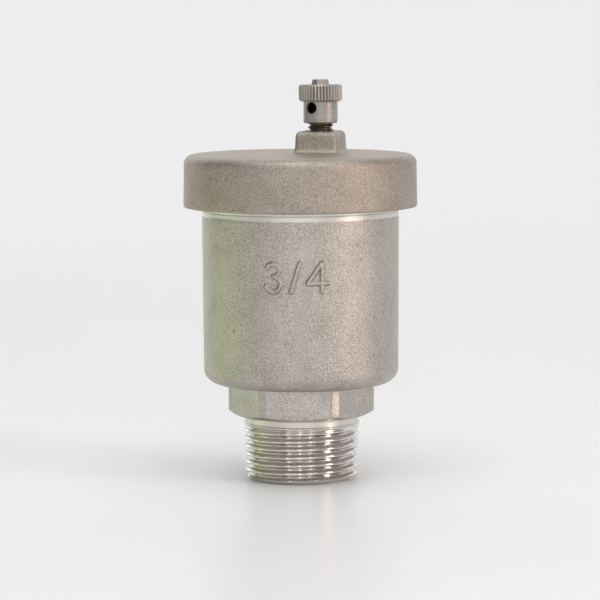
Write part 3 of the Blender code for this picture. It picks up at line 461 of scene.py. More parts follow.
def make_valve_body(material):
    """The casting in one closed grid: neck, cup with its figures, hexagon, thread, bore, chamber.

    Each column is the profile at its own angle. The hexagon's radius is held softly within the reach
    of its turned corners, and its lower edge rises with that radius. The thread's depth is taken from
    the radius, and the figures' relief and the casting's wave are added to it.
    """
    angle = body_angles()
    hexagon = soft_min(six_sided(angle, HEX_FLAT, HEX_TURN), HEX_CORNER_REACH, HEX_EDGE_SOFTNESS)
    corner_z = HEX_Z + HEX_CHAMFER + (hexagon - HEX_FLAT) * HEX_CHAMFER_SLOPE
    groove_z = COVER_Z - NECK_GROOVE_DROP
    runout_radius = SPIGOT_RADIUS - RUNOUT_DEPTH
    runout_z = HEX_Z - RUNOUT_LENGTH
    thread_top = runout_z - RUNOUT_DEPTH
    figure_top = FIGURE_BASE_Z + FIGURE_SIZE + FIGURE_MARGIN
    figure_bottom = FIGURE_BASE_Z - FIGURE_MARGIN
    radius, height = profile_rows([
        corner(LAND_RADIUS, RIM_Z, RIM_EDGE, 2, 4),
        corner(LAND_RADIUS, SHOULDER_Z, SHARP_EDGE, 2, 1),
        corner(NECK_RADIUS, SHOULDER_Z, SHARP_EDGE, 2, 3),
        corner(NECK_RADIUS, groove_z + NECK_GROOVE_WIDTH / 2, NECK_GROOVE_EDGE, 2, 1),
        corner(NECK_RADIUS - NECK_GROOVE_DEPTH, groove_z, NECK_GROOVE_EDGE, 2, 1),
        corner(NECK_RADIUS, groove_z - NECK_GROOVE_WIDTH / 2, NECK_GROOVE_EDGE, 2, 3),
        corner(NECK_RADIUS, NECK_Z + NECK_BLEND, NECK_FILLET, 3, 2),
        corner(CUP_TOP_RADIUS, NECK_Z - NECK_BLEND, NECK_FILLET, 3, 7),
        corner(CUP_BASE_RADIUS + CUP_DRAFT * 0.75, figure_top, 0, 1, FIGURE_ROWS),
        corner(CUP_BASE_RADIUS + CUP_DRAFT * 0.55, figure_bottom, 0, 1, 12),
        corner(CUP_BASE_RADIUS, CUP_Z, CUP_FILLET, 12, 4),
        corner(hexagon, CUP_Z, HEX_TOP_EDGE, 4, 6),
        corner(hexagon, corner_z, HEX_LOW_EDGE, 4, 3),
        corner(HEX_FLAT - HEX_CHAMFER / HEX_CHAMFER_SLOPE, HEX_Z, BROKEN_EDGE, 3, 2),
        corner(runout_radius, HEX_Z, SHARP_EDGE, 3, 6),
        corner(runout_radius, runout_z, SHARP_EDGE, 2, 1),
        corner(SPIGOT_RADIUS, thread_top, SHARP_EDGE, 2, PIPE_ROWS),
        corner(spigot_radius(SPIGOT_CHAMFER), SPIGOT_CHAMFER, SHARP_EDGE, 2, 11),
        corner(spigot_radius(0) - SPIGOT_CHAMFER, 0, END_EDGE, 3, 3),
        corner(INLET_RADIUS + INLET_CHAMFER, 0, SHARP_EDGE, 3, 2),
        corner(INLET_RADIUS, INLET_CHAMFER, SHARP_EDGE, 3, 6),
        corner(INLET_RADIUS, FLOOR_Z, FLOOR_EDGE, 4, 4),
        corner(CHAMBER_RADIUS, FLOOR_Z, CHAMBER_FILLET, 8, 10),
        corner(CHAMBER_RADIUS, RIM_Z, BROKEN_EDGE, 2, 2),
    ], angle.size)

    outside = np.arange(len(height))[:, None] <= height[:, 0].argmin()
    fade = 1 - smooth_step(height, thread_top - THREAD_FADE, thread_top)
    depth = fade * thread_depth(
        angle, height, PIPE_PITCH, PIPE_DEPTH, PIPE_FLANK, PIPE_CREST, PIPE_SOFTNESS, PIPE_THREAD_TURN,
    )
    threaded = outside & (height < thread_top)
    radius = np.where(threaded, np.minimum(radius, spigot_radius(height) - depth), radius)
    # Painted shade on the thread: the flanks, between crest and root, are marked so their colour is darkened
    # to stand in for the shade in the grooves.
    below_crest = smooth_step(depth, PIPE_DEPTH * 0.1, PIPE_DEPTH * 0.4)
    at_root = smooth_step(depth, PIPE_DEPTH * 0.75, PIPE_DEPTH * 0.97)
    flank = below_crest * (1 - at_root)

    cast = outside * smooth_step(height, HEX_Z, HEX_Z + SKIN_START)
    cast = cast * (1 - smooth_step(height, NECK_Z - SKIN_BLEND, NECK_Z + SKIN_BLEND))
    gap = figure_gap(angle, height)
    relief = FIGURE_RELIEF * (1 - smooth_step(gap, STROKE_CORE, STROKE_EDGE))
    # Painted shade: a band just outside each stroke's edge darkens the colour, standing in for the shade at
    # the foot of the relief.
    foot = smooth_step(gap, STROKE_CORE, STROKE_EDGE) * (1 - smooth_step(gap, STROKE_EDGE, STROKE_SHADE))
    skin = cast * (cast_wave(angle, height, BODY_WAVE_SEED) + relief)
    radius = radius + (height < NECK_Z - SKIN_BLEND) * skin
    turned_corner = hexagon > HEX_CORNER_REACH - HEX_MARGIN
    on_hexagon = outside & (height < CUP_Z - HEX_MARGIN) & (height > HEX_Z)
    polish = on_hexagon * (HEX_POLISH + CORNER_POLISH * turned_corner) + threaded
    # The third mark paints shade into the colour, on the thread's flanks and round the foot of the figures'
    # strokes.
    marks = {
        "machined": 1 - cast, "polish": polish,
        "painted_shade": THREAD_PAINTED_SHADE * threaded * flank + FIGURE_PAINTED_SHADE * cast * foot,
    }
    patch = Patch(turned_points(radius, height, angle), wrap_rows=True, marks=marks)
    return make_piece("valve_body_casting", [patch], material, "housing", "valve_body")


def boss_spokes():
    """A square path's corners and sides: where the rounding's centre lies, and which way is out.

    A ring round the boss is (half side - rounding) * centre + rounding * outward.
    """
    centres, outwards = [], []
    for quarter in range(4):
        start = quarter * math.pi / 2
        turn = start + np.linspace(0, math.pi / 2, BOSS_CORNER_COLUMNS, endpoint=False)
        at_corner = np.array([math.cos(start) - math.sin(start), math.sin(start) + math.cos(start)])
        centres.append(np.tile(at_corner, (BOSS_CORNER_COLUMNS, 1)))
        outwards.append(np.stack([np.cos(turn), np.sin(turn)], -1))
        side = np.array([-math.sin(start), math.cos(start)])
        next_corner = np.array([-at_corner[1], at_corner[0]])
        share = np.linspace(0, 1, BOSS_SIDE_COLUMNS, endpoint=False)[:, None]
        centres.append(at_corner + share * (next_corner - at_corner))
        outwards.append(np.tile(side, (BOSS_SIDE_COLUMNS, 1)))
    along, across = math.cos(BOSS_TURN), math.sin(BOSS_TURN)
    turned = np.array([[along, across], [-across, along]])
    return np.concatenate(centres) @ turned, np.concatenate(outwards) @ turned


def crown_height(plan):
    """Height of the cover's top: a shallow paraboloid about the axis."""
    share = (plan ** 2).sum(-1) / (COVER_RADIUS - COVER_DRAFT) ** 2
    return COVER_TOP_Z + COVER_CROWN * np.maximum(1 - share, 0)


def make_cover(material):
    """The cover in one closed grid, from the vent hole over the boss and the skirt to the inside.

    The boss is rings of a rounded square that follow quarter circles at its top and its foot. From
    the foot the rows go straight to the cover's edge at the crown's height, and the skirt is a turned
    profile with the casting's wave added to its radius.
    """
    centres, outwards = boss_spokes()
    columns = len(centres)
    smallest = BOSS_CORNER_RADIUS / 4

    def boss_ring(out):
        rounding = max(BOSS_CORNER_RADIUS + out, smallest)
        return VENT + (BOSS_SIDE / 2 + out - rounding) * centres + rounding * outwards

    foot = boss_ring(BOSS_FOOT_RADIUS)
    spoke = foot - VENT
    spoke = spoke / np.linalg.norm(spoke, axis=1, keepdims=True)
    edge_radius = COVER_RADIUS - COVER_DRAFT - COVER_EDGE_RADIUS * COVER_EDGE_SHARE
    reach = -spoke @ VENT + np.sqrt((spoke @ VENT) ** 2 + edge_radius ** 2 - VENT @ VENT)
    edge = VENT + reach[:, None] * spoke
    angle = np.unwrap(np.arctan2(edge[:, 1], edge[:, 0]))
    hole = VENT + VENT_HOLE_RADIUS * spoke
    rim_of_hole = VENT + (VENT_HOLE_RADIUS + NIPPLE_CHAMFER) * spoke

    def ring(plan, height):
        return np.concatenate([plan, np.broadcast_to(height, columns)[:, None]], -1)

    rows = [ring(hole, BOSS_Z - NIPPLE_CHAMFER), ring(rim_of_hole, BOSS_Z)]
    boss_top = boss_ring(-BOSS_DRAFT - BOSS_TOP_RADIUS)
    for share in np.linspace(0, 1, 5)[1:-1]:
        rows.append(ring(rim_of_hole + share * (boss_top - rim_of_hole), BOSS_Z))
    quarter = np.linspace(0, math.pi / 2, 11)
    for turn in quarter[::-1]:
        back = BOSS_DRAFT + BOSS_TOP_RADIUS * (1 - math.cos(turn))
        rows.append(ring(boss_ring(-back), BOSS_Z - BOSS_TOP_RADIUS * (1 - math.sin(turn))))
    side_foot = COVER_TOP_Z + BOSS_FOOT_RADIUS
    side_top = BOSS_Z - BOSS_TOP_RADIUS
    for share in np.linspace(0, 1, 7)[1:-1]:
        rows.append(ring(boss_ring(-BOSS_DRAFT * (1 - share)), side_top + share * (side_foot - side_top)))
    for turn in quarter[::-1]:
        plan = boss_ring(BOSS_FOOT_RADIUS * (1 - math.sin(turn)))
        rows.append(ring(plan, crown_height(plan) + BOSS_FOOT_RADIUS * (1 - math.cos(turn))))
    for share in np.linspace(0, 1, 17)[1:-1]:
        plan = foot + share * (edge - foot)
        rows.append(ring(plan, crown_height(plan)))
    top_rows = np.stack(rows)
    x, y = top_rows[..., 0], top_rows[..., 1]
    wave = cast_wave(np.arctan2(y, x), np.hypot(x, y), COVER_WAVE_SEED)
    top_rows[2:, :, 2] += wave[2:] * TOP_WAVE_SHARE

    radius, height = profile_rows([
        corner(edge_radius, COVER_TOP_Z, 0, 1, 2),
        corner(COVER_RADIUS - COVER_DRAFT, COVER_TOP_Z, COVER_EDGE_RADIUS, 14, 9),
        corner(COVER_RADIUS, COVER_Z, COVER_LIP_RADIUS, 6, 4),
        corner(LIP_BORE_RADIUS, COVER_Z, COVER_BORE_EDGE, 3, 2),
        corner(LIP_BORE_RADIUS, COVER_Z + COVER_LIP_DEPTH, SHARP_EDGE, 2, 1),
        corner(COVER_BORE_RADIUS, COVER_Z + COVER_LIP_DEPTH, SHARP_EDGE, 2, 6),
        corner(COVER_BORE_RADIUS, PLATE_Z, COVER_PLATE_EDGE, 3, 1),
        corner(COVER_BORE_RADIUS - COVER_PLATE_RIM, PLATE_Z),
    ], columns, closed=False)
    outside = (radius > LIP_BORE_RADIUS + SIDE_GAP) * smooth_step(COVER_TOP_Z - height, 0, COVER_EDGE_RADIUS)
    wavy = radius + outside * cast_wave(angle, height, COVER_WAVE_SEED)
    wavy = np.minimum(wavy, COVER_RADIUS)
    skirt_rows = turned_points(wavy, height, angle)

    inner_edge = skirt_rows[-1, :, :2]
    rows = []
    for share in np.linspace(0, 1, 6)[1:]:
        rows.append(ring(inner_edge + share * (hole - inner_edge), PLATE_Z))
    for share in np.linspace(0, 1, 5)[1:-1]:
        rows.append(ring(hole, PLATE_Z + share * (BOSS_Z - NIPPLE_CHAMFER - PLATE_Z)))
    points = np.concatenate([top_rows, skirt_rows, np.stack(rows)])
    first_inside = len(top_rows) + len(skirt_rows) - COVER_BORE_ROWS
    machined = (np.arange(len(points)) >= first_inside)[:, None] * np.ones(columns)
    machined[0] = 1
    plain = np.zeros_like(machined)
    patch = Patch(points, wrap_rows=True, marks={"machined": machined, "painted_shade": plain, "polish": plain})
    return make_piece("cover_casting", [patch], material, "housing", "cover")


def make_vent_nipple(material):
    """The nipple, bored through: a turned profile less the depth of its fine thread."""
    angle = np.linspace(0, math.tau, VENT_COLUMNS, endpoint=False)
    radius, height = profile_rows([
        corner(NIPPLE_BORE_RADIUS, NIPPLE_Z, SHARP_EDGE, 2, 3),
        corner(VENT_THREAD_RADIUS - NIPPLE_CHAMFER, NIPPLE_Z, FINE_EDGE, 2, 6),
        corner(VENT_THREAD_RADIUS, NIPPLE_Z - NIPPLE_CHAMFER, FINE_EDGE, 2, VENT_ROWS),
        corner(VENT_THREAD_RADIUS, NIPPLE_LOW.z + NIPPLE_CHAMFER, FINE_EDGE, 2, 6),
        corner(VENT_THREAD_RADIUS - NIPPLE_CHAMFER, NIPPLE_LOW.z, FINE_EDGE, 2, 3),
        corner(NIPPLE_BORE_RADIUS, NIPPLE_LOW.z, SHARP_EDGE, 2, 6),
    ], angle.size)
    depth = thread_depth(
        angle, height, VENT_PITCH, VENT_DEPTH, VENT_FLANK, VENT_CREST, VENT_SOFTNESS, VENT_THREAD_TURN,
    )
    outside = radius > NIPPLE_BORE_RADIUS + SIDE_GAP
    radius = np.where(outside, np.minimum(radius, VENT_THREAD_RADIUS - depth), radius)
    # Painted shade: the thread's roots carry a mark that darkens their colour, standing in for the shade in
    # the grooves.
    marks = {"painted_shade": outside * smooth_step(depth, VENT_DEPTH * 0.35, VENT_DEPTH)}
    patch = Patch(turned_points(radius, height, angle, VENT), wrap_rows=True, marks=marks)
    return make_piece("vent_nipple_threaded", [patch], material, "housing", "vent_nipple")


def knurl_radius(angle):
    """Radius round the grip: V grooves, each as deep as its place is near the groove's middle."""
    phase = (angle - KNURL_TURN) * KNURL_RIDGES / math.tau
    off_groove = np.abs(phase - np.round(phase))
    return CAP_RING_RADIUS - KNURL_DEPTH * np.clip(1 - off_groove / KNURL_GROOVE, 0, 1)


def window_outline(grid, top, bottom, left, right):
    """The points round a window of a grid, clockwise as seen from outside."""
    down = 1 if bottom > top else -1
    return np.concatenate([
        grid[top, left:right + 1],
        grid[top + down:bottom + down:down, right],
        grid[bottom, left:right][::-1],
        grid[top + down:bottom:down, left][::-1],
    ])


def side_hole_patch(grid, outer, inner, left, right, hole_z):
    """The drilled side hole: from the window in the barrel, through the wall, to the bore's window.

    Seen along the hole, each ring goes straight from a window's outline to the hole's circle. Its
    depth follows the round wall: the root of the wall's radius squared less the sideways distance
    squared.
    """
    turn = FRONT + SIDE_HOLE_TURN
    out = np.array([math.cos(turn), math.sin(turn), 0])
    side = np.array([-math.sin(turn), math.cos(turn), 0])
    middle = np.array([VENT[0], VENT[1], hole_z])

    def seen_along(points):
        return np.stack([(points - middle) @ side, points[:, 2] - hole_z], -1)

    def placed(seen, depth):
        return middle + depth[:, None] * out + seen[:, :1] * side + seen[:, 1:] * np.array([0, 0, 1])

    def wall_depth(seen, radius):
        return np.sqrt(radius ** 2 - seen[:, 0] ** 2)

    barrel = window_outline(grid, *outer, left, right)
    bore = window_outline(grid, *inner, left, right)
    barrel_seen, bore_seen = seen_along(barrel), seen_along(bore)
    edge = SIDE_HOLE_RADIUS + SIDE_HOLE_EDGE
    unit = barrel_seen / np.linalg.norm(barrel_seen, axis=1, keepdims=True)
    bore_unit = bore_seen / np.linalg.norm(bore_seen, axis=1, keepdims=True)
    rows = [barrel]
    for share in np.linspace(0, 1, 7)[1:]:
        seen = barrel_seen + share * (unit * edge - barrel_seen)
        rows.append(placed(seen, wall_depth(seen, CAP_BARREL_RADIUS)))
    for tilt in np.linspace(0, math.pi / 2, 4)[1:]:
        seen = unit * (edge - SIDE_HOLE_EDGE * math.sin(tilt))
        sunk = SIDE_HOLE_EDGE * (1 - math.cos(tilt))
        rows.append(placed(seen, wall_depth(seen, CAP_BARREL_RADIUS) - sunk))
    start = wall_depth(unit * SIDE_HOLE_RADIUS, CAP_BARREL_RADIUS) - SIDE_HOLE_EDGE
    end = wall_depth(bore_unit * SIDE_HOLE_RADIUS, VENT_HOLE_RADIUS)
    for share in np.linspace(0, 1, 5)[1:]:
        seen = unit + share * (bore_unit - unit)
        seen = seen / np.linalg.norm(seen, axis=1, keepdims=True) * SIDE_HOLE_RADIUS
        rows.append(placed(seen, start + share * (end - start)))
    for share in np.linspace(0, 1, 5)[1:-1]:
        seen = bore_unit * SIDE_HOLE_RADIUS
        seen = seen + share * (bore_seen - seen)
        rows.append(placed(seen, wall_depth(seen, VENT_HOLE_RADIUS)))
    rows.append(bore)
    return Patch(np.stack(rows))


def make_vent_cap(material):
    """The hand cap: nub, knurled ring and barrel in one grid, with a window for the side hole.

    Each column is the profile at its own angle, with the nub's radius six-sided. Between the ring's
    two faces the radius is held within the knurl's.
    """
    columns = KNURL_RIDGES * KNURL_COLUMNS
    angle = np.linspace(0, math.tau, columns, endpoint=False) + KNURL_TURN
    hole_z = RING_Z - SIDE_HOLE_DROP
    window_top = RING_Z - WINDOW_DROP
    window_bottom = hole_z - WINDOW_REACH
    ceiling = SEAL_HIGH.z + SEAT_GAP
    bore = VENT_HOLE_RADIUS
    nub = six_sided(angle, CAP_NUB_FLAT, CAP_NUB_TURN)
    nub_foot = nub * (1 + CAP_NUB_FLARE * math.cos(math.pi / 6) / CAP_NUB_FLAT)
    corners = [
        corner(0, CAP_TOP_Z, 0, 1, 2),
        corner(nub, CAP_TOP_Z, CAP_NUB_EDGE, 4, 4),
        corner(nub_foot, NUB_Z, BROKEN_EDGE, 4, 4),
        corner(CAP_RING_RADIUS - CAP_RING_CHAMFER, NUB_Z, CAP_RING_EDGE, 3, 5),
        corner(CAP_RING_RADIUS, NUB_Z - CAP_RING_CHAMFER, CAP_RING_EDGE, 3, 8),
        corner(CAP_RING_RADIUS, RING_Z + CAP_RING_CHAMFER, CAP_RING_EDGE, 3, 5),
        corner(CAP_RING_RADIUS - CAP_RING_CHAMFER, RING_Z, FINE_EDGE, 3, 3),
        corner(CAP_BARREL_RADIUS, RING_Z, CAP_RING_EDGE, 3, 1),
        corner(CAP_BARREL_RADIUS, window_top, 0, 1, WINDOW_ROWS),
        corner(CAP_BARREL_RADIUS, window_bottom, 0, 1, 3),
        corner(CAP_BARREL_RADIUS, CAP_Z, CAP_BARREL_EDGE, 6, 1),
        corner(bore + CAP_MOUTH_CHAMFER, CAP_Z, FINE_EDGE, 2, 1),
        corner(bore, CAP_Z + CAP_MOUTH_CHAMFER, FINE_EDGE, 2, 3),
        corner(bore, window_bottom, 0, 1, WINDOW_ROWS),
        corner(bore, window_top, 0, 1, 4),
        corner(bore, ceiling, BROKEN_EDGE, 3, 3),
        corner(0, ceiling),
    ]
    radius, height = profile_rows(corners, columns, closed=False)
    gripped = (height > RING_Z) & (height < NUB_Z) & (radius > CAP_BARREL_RADIUS + SIDE_GAP)
    ridged = np.minimum(radius, knurl_radius(angle))
    # Painted shade: the knurl's grooves carry a mark that darkens their colour, standing in for the shade in
    # them.
    valley_painted_shade = gripped * smooth_step(CAP_RING_RADIUS - knurl_radius(angle), KNURL_DEPTH * 0.3, KNURL_DEPTH)
    radius = np.where(gripped, ridged, radius)
    grid = turned_points(radius, height, angle, VENT)

    level = height[:, 0]
    at_top = np.flatnonzero(np.abs(level - window_top) < 1e-8)
    at_bottom = np.flatnonzero(np.abs(level - window_bottom) < 1e-8)
    middle = int(round((FRONT + SIDE_HOLE_TURN - KNURL_TURN) % math.tau / math.tau * columns))
    left, right = middle - WINDOW_COLUMNS, middle + WINDOW_COLUMNS
    keep = np.ones((len(grid) - 1, columns), bool)
    keep[at_top[0]:at_bottom[0], left:right] = False
    keep[at_bottom[1]:at_top[1], left:right] = False
    outer = (at_top[0], at_bottom[0])
    inner = (at_top[1], at_bottom[1])
    hole = side_hole_patch(grid, outer, inner, left, right, hole_z)
    patches = [Patch(grid, keep=keep, marks={"painted_shade": valley_painted_shade}), hole]
    return make_piece("vent_cap_knurled", patches, material, "hand_cap", "vent_cap")


# Finishes

class Value:
    """A shader socket. Arithmetic with numbers and other sockets adds the Math nodes that do it."""

    def __init__(self, finish, socket):
        self.finish = finish
        self.socket = socket

    def _join(self, operation, first, second):
        return self.finish.node("ShaderNodeMath", {"operation": operation}, {0: first, 1: second})

    def __add__(self, other):
        return self._join("ADD", self, other)

    def __radd__(self, other):
        return self._join("ADD", other, self)

    def __sub__(self, other):
        return self._join("SUBTRACT", self, other)

    def __rsub__(self, other):
        return self._join("SUBTRACT", other, self)

    def __mul__(self, other):
        return self._join("MULTIPLY", self, other)

    def __rmul__(self, other):
        return self._join("MULTIPLY", other, self)

    def __truediv__(self, other):
        return self._join("DIVIDE", self, other)

    def __rtruediv__(self, other):
        return self._join("DIVIDE", other, self)

    def __pow__(self, other):
        return self._join("POWER", self, other)


class Finish:
    """A material whose nodes are added one call at a time."""

    def __init__(self, name, **settings):
        self.material = bpy.data.materials.new(name)
        self.material.use_nodes = True
        self.tree = self.material.node_tree
        self.shader = self.tree.nodes["Principled BSDF"]
        for socket, value in settings.items():
            self.shader.inputs[self.named(socket)].default_value = value

    @staticmethod
    def named(socket):
        """The name that the shader gives a socket."""
        return "IOR" if socket == "ior" else socket.replace("_", " ").title()

    def node(self, kind, settings=None, values=None, output=0):
        """Adds a node: its settings first, then a value or a link for each socket named."""
        made = self.tree.nodes.new(kind)
        for key, value in (settings or {}).items():
            setattr(made, key, value)
        for key, value in (values or {}).items():
            if isinstance(value, Value):
                self.tree.links.new(value.socket, made.inputs[key])
            else:
                made.inputs[key].default_value = value
        return Value(self, made.outputs[output])

    def place(self):
        """Object coordinates."""
        return self.node("ShaderNodeTexCoord", output="Object")

    def mark(self, name):
        """A value that the piece's points carry."""
        return self.node("ShaderNodeAttribute", {"attribute_name": name}, output="Fac")

    def parts(self, vector):
        """The three numbers of a vector."""
        split = self.node("ShaderNodeSeparateXYZ", values={0: vector})
        outputs = split.socket.node.outputs
        return [Value(self, outputs[axis]) for axis in range(3)]

    def vector(self, x, y, z):
        return self.node("ShaderNodeCombineXYZ", values={0: x, 1: y, 2: z})

    def noise(self, vector, scale, detail=2.0, roughness=0.5):
        """Noise between 0 and 1, with cells of one over the scale."""
        return self.node(
            "ShaderNodeTexNoise",
            values={"Vector": vector, "Scale": scale, "Detail": detail, "Roughness": roughness},
        )

    def between(self, value, low, high):
        """A value's share of the way from low to high, held between 0 and 1, with soft ends."""
        return self.node(
            "ShaderNodeMapRange", {"interpolation_type": "SMOOTHSTEP"},
            {"Value": value, "From Min": low, "From Max": high},
        )

    def mix(self, share, first, second):
        """A colour between two."""
        return self.node(
            "ShaderNodeMix", {"data_type": "RGBA"}, {0: share, 6: first, 7: second}, output=2,
        )

    def bump(self, height, distance, below=None):
        """A surface normal from a height in units of the distance."""
        values = {"Height": height, "Distance": distance}
        if below is not None:
            values["Normal"] = below
        return self.node("ShaderNodeBump", values=values)

    def feed(self, **links):
        """Links what varies over the surface into the shader."""
        for socket, value in links.items():
            self.tree.links.new(value.socket, self.shader.inputs[self.named(socket)])
        return self.material


def grey(red, green, blue):
    """A colour near to grey, with nothing see-through."""
    return (red, green, blue, 1.0)


def turning_lines(finish, centre, spacing):
    """Noise that varies along the axis and outwards only, as the marks of a lathe tool do."""
    x, y, z = finish.parts(finish.place())
    x, y = x - float(centre[0]), y - float(centre[1])
    out = (x * x + y * y) ** 0.5
    return finish.noise(finish.vector(out, 0.0, z), 1 / spacing, 3.0, 0.6)


def cast_finish(name, axis, dark, bright, rough):
    """Blasted stainless casting, with brighter turned bands where the tool has passed."""
    finish = Finish(name, metallic=1.0)
    place = finish.place()
    grain = finish.noise(place, 3600, 2.0, 0.6)
    peel = finish.noise(place, 1700, 2.0, 0.5)
    cloud = finish.noise(place, 160, 4.0, 0.6)
    speck = finish.between(finish.noise(place, 700, 1.0, 0.4), 0.74, 0.8)
    ragged = finish.mark("machined") + (finish.noise(place, 800, 3.0, 0.6) - 0.5) * 0.8
    machined = finish.between(ragged, 0.35, 0.65)
    # The mark that says where shade is painted into the colour
    painted_shade = finish.mark("painted_shade")
    polish = finish.mark("polish")
    lines = turning_lines(finish, axis, 0.00012)
    tone = finish.between(cloud * 0.2 + grain * 0.8, 0.41, 0.59)
    skin = finish.mix(tone, dark, bright)
    skin = finish.mix(speck * 0.5, skin, grey(0.16, 0.13, 0.1))
    turned = finish.mix(lines, grey(0.6, 0.57, 0.53), grey(0.76, 0.73, 0.69))
    colour = finish.mix(machined, skin, turned)
    # Painted shade: where the mark is high, the colour is darkened towards a dark brown-grey, standing in
    # for the shade in the thread's flanks and round the figures.
    colour = finish.mix(painted_shade * 0.6, colour, grey(0.17, 0.15, 0.12))
    rough_skin = rough + grain * 0.16 + cloud * 0.06 - polish * 0.12
    rough_turned = 0.36 + lines * 0.1 - polish * 0.28
    roughness = rough_skin + machined * (rough_turned - rough_skin) + painted_shade * 0.05
    blasted = (grain - 0.5) * 0.9 + (peel - 0.5) * 0.7
    height = (1 - polish) * (blasted * (1 - machined) + lines * machined * 0.1)
    normal = finish.bump(height, 0.00012)
    return finish.feed(base_color=colour, roughness=roughness, normal=normal)


def turned_finish(name, axis, dark, bright, rough):
    """Turned stainless steel: fine rings from the tool and a few dull patches."""
    finish = Finish(name, metallic=1.0)
    place = finish.place()
    painted_shade = finish.mark("painted_shade")
    lines = turning_lines(finish, axis, 0.00009)
    patches = finish.noise(place, 500, 3.0, 0.5)
    colour = finish.mix(finish.between(lines * 0.6 + patches * 0.4, 0.3, 0.7), dark, bright)
    # Painted shade: where the mark is high, the colour is darkened towards near black, standing in for the
    # shade in thread roots and knurl grooves.
    colour = finish.mix(painted_shade * 0.4, colour, grey(0.1, 0.085, 0.07))
    roughness = rough + lines * 0.12 + patches * 0.1
    normal = finish.bump(lines, 0.000012)
    return finish.feed(base_color=colour, roughness=roughness, normal=normal)


def sheet_finish():
    """Rolled sheet: a grain drawn out along one direction."""
    finish = Finish("sheet_steel", metallic=1.0)
    place = finish.place()
    x, y, z = finish.parts(place)
    drawn = finish.noise(finish.vector(x * 0.06, y, z), 5000, 2.0, 0.6)
    cloud = finish.noise(place, 220, 3.0, 0.5)
    tone = finish.between(drawn * 0.6 + cloud * 0.4, 0.3, 0.7)
    colour = finish.mix(tone, grey(0.5, 0.5, 0.49), grey(0.66, 0.66, 0.65))
    roughness = 0.24 + drawn * 0.16 + cloud * 0.06
    return finish.feed(base_color=colour, roughness=roughness, normal=finish.bump(drawn, 0.000006))


def rubber_finish():
    """Moulded black rubber with a bloom of dust."""
    finish = Finish("rubber", metallic=0.0)
    place = finish.place()
    grain = finish.noise(place, 6000, 3.0, 0.6)
    bloom = finish.noise(place, 900, 3.0, 0.6)
    colour = finish.mix(finish.between(bloom, 0.4, 0.8), grey(0.018, 0.018, 0.019), grey(0.05, 0.05, 0.048))
    roughness = 0.6 + grain * 0.25
    return finish.feed(base_color=colour, roughness=roughness, normal=finish.bump(grain, 0.00001))


def fibre_finish():
    """Pressed sealing fibre: flecks and short strands in a grey-green board."""
    finish = Finish("fibre", metallic=0.0)
    place = finish.place()
    x, y, z = finish.parts(place)
    strands = finish.noise(finish.vector(x, y * 0.3, z), 3000, 4.0, 0.7)
    flecks = finish.noise(place, 1500, 2.0, 0.5)
    colour = finish.mix(finish.between(strands, 0.35, 0.7), grey(0.13, 0.17, 0.15), grey(0.27, 0.31, 0.28))
    colour = finish.mix(finish.between(flecks, 0.62, 0.72), colour, grey(0.45, 0.46, 0.42))
    roughness = 0.78 + strands * 0.15
    return finish.feed(base_color=colour, roughness=roughness, normal=finish.bump(strands, 0.00002))


def floor_finish():
    """Pale paper with a slight gloss."""
    finish = Finish("pale_floor", metallic=0.0, roughness=0.32, ior=1.3)
    place = finish.place()
    cloud = finish.noise(place, 3, 2.0, 0.5)
    colour = finish.mix(cloud, grey(0.8, 0.805, 0.815), grey(0.83, 0.833, 0.84))
    return finish.feed(base_color=colour)


# Floor, camera and lights

def add_floor():
    """A floor that curves up behind the valve, as a photographer's paper sweep does."""
    across = np.linspace(-PAPER_SIDE, PAPER_SIDE, 9)
    turn = np.linspace(0, math.pi / 2, 13)
    flat = np.linspace(-PAPER_FRONT, PAPER_BEND, 9)[:-1]
    bend = PAPER_BEND + PAPER_RADIUS * np.sin(turn)
    run = np.concatenate([flat, bend, [PAPER_BEND + PAPER_RADIUS]])
    rise = np.concatenate([0 * flat, PAPER_RADIUS * (1 - np.cos(turn)), [PAPER_TOP]])
    points = np.stack(np.broadcast_arrays(across[None, :], run[:, None], rise[:, None]), -1)[::-1]
    patch = Patch(points, wrap_columns=False)
    mesh = bpy.data.meshes.new("paper_sweep")
    mesh.from_pydata(points.reshape(-1, 3), [], patch.faces.reshape(-1, 4))
    mesh.shade_smooth()
    mesh.materials.append(floor_finish())
    obj = bpy.data.objects.new("paper_sweep", mesh)
    bpy.context.scene.collection.objects.link(obj)


def add_camera():
    """The photograph's view: a long lens, a little above the valve and turned a little."""
    data = bpy.data.cameras.new("camera")
    data.lens = CAMERA_LENS
    data.clip_start = 0.05
    data.clip_end = 20
    camera = bpy.data.objects.new("camera", data)
    turned = Matrix.Rotation(CAMERA_PITCH, 4, "X") @ Matrix.Rotation(CAMERA_ROLL, 4, "Z")
    camera.matrix_world = Matrix.Translation(CAMERA_PLACE) @ turned
    bpy.context.scene.collection.objects.link(camera)
    bpy.context.scene.camera = camera


def add_light(
    name, azimuth, elevation, distance, size, brightness, colour=(1, 1, 1), target=LIT_POINT, spread=180,
):
    """A soft rectangular light that faces its target, and whose rays fan out by its spread.

    The azimuth is counted from the front towards the right. Its power is its brightness times pi
    times its area.
    """
    data = bpy.data.lights.new(name, "AREA")
    data.shape = "RECTANGLE"
    data.size, data.size_y = size
    data.energy = brightness * math.pi * size[0] * size[1]
    data.color = colour
    data.spread = math.radians(spread)
    turn, rise = math.radians(azimuth), math.radians(elevation)
    away = Vector((math.sin(turn) * math.cos(rise), -math.cos(turn) * math.cos(rise), math.sin(rise)))
    light = bpy.data.objects.new(name, data)
    light.location = Vector(target) + away * distance
    light.rotation_euler = away.to_track_quat("Z", "Y").to_euler()
    light.visible_camera = False
    bpy.context.scene.collection.objects.link(light)


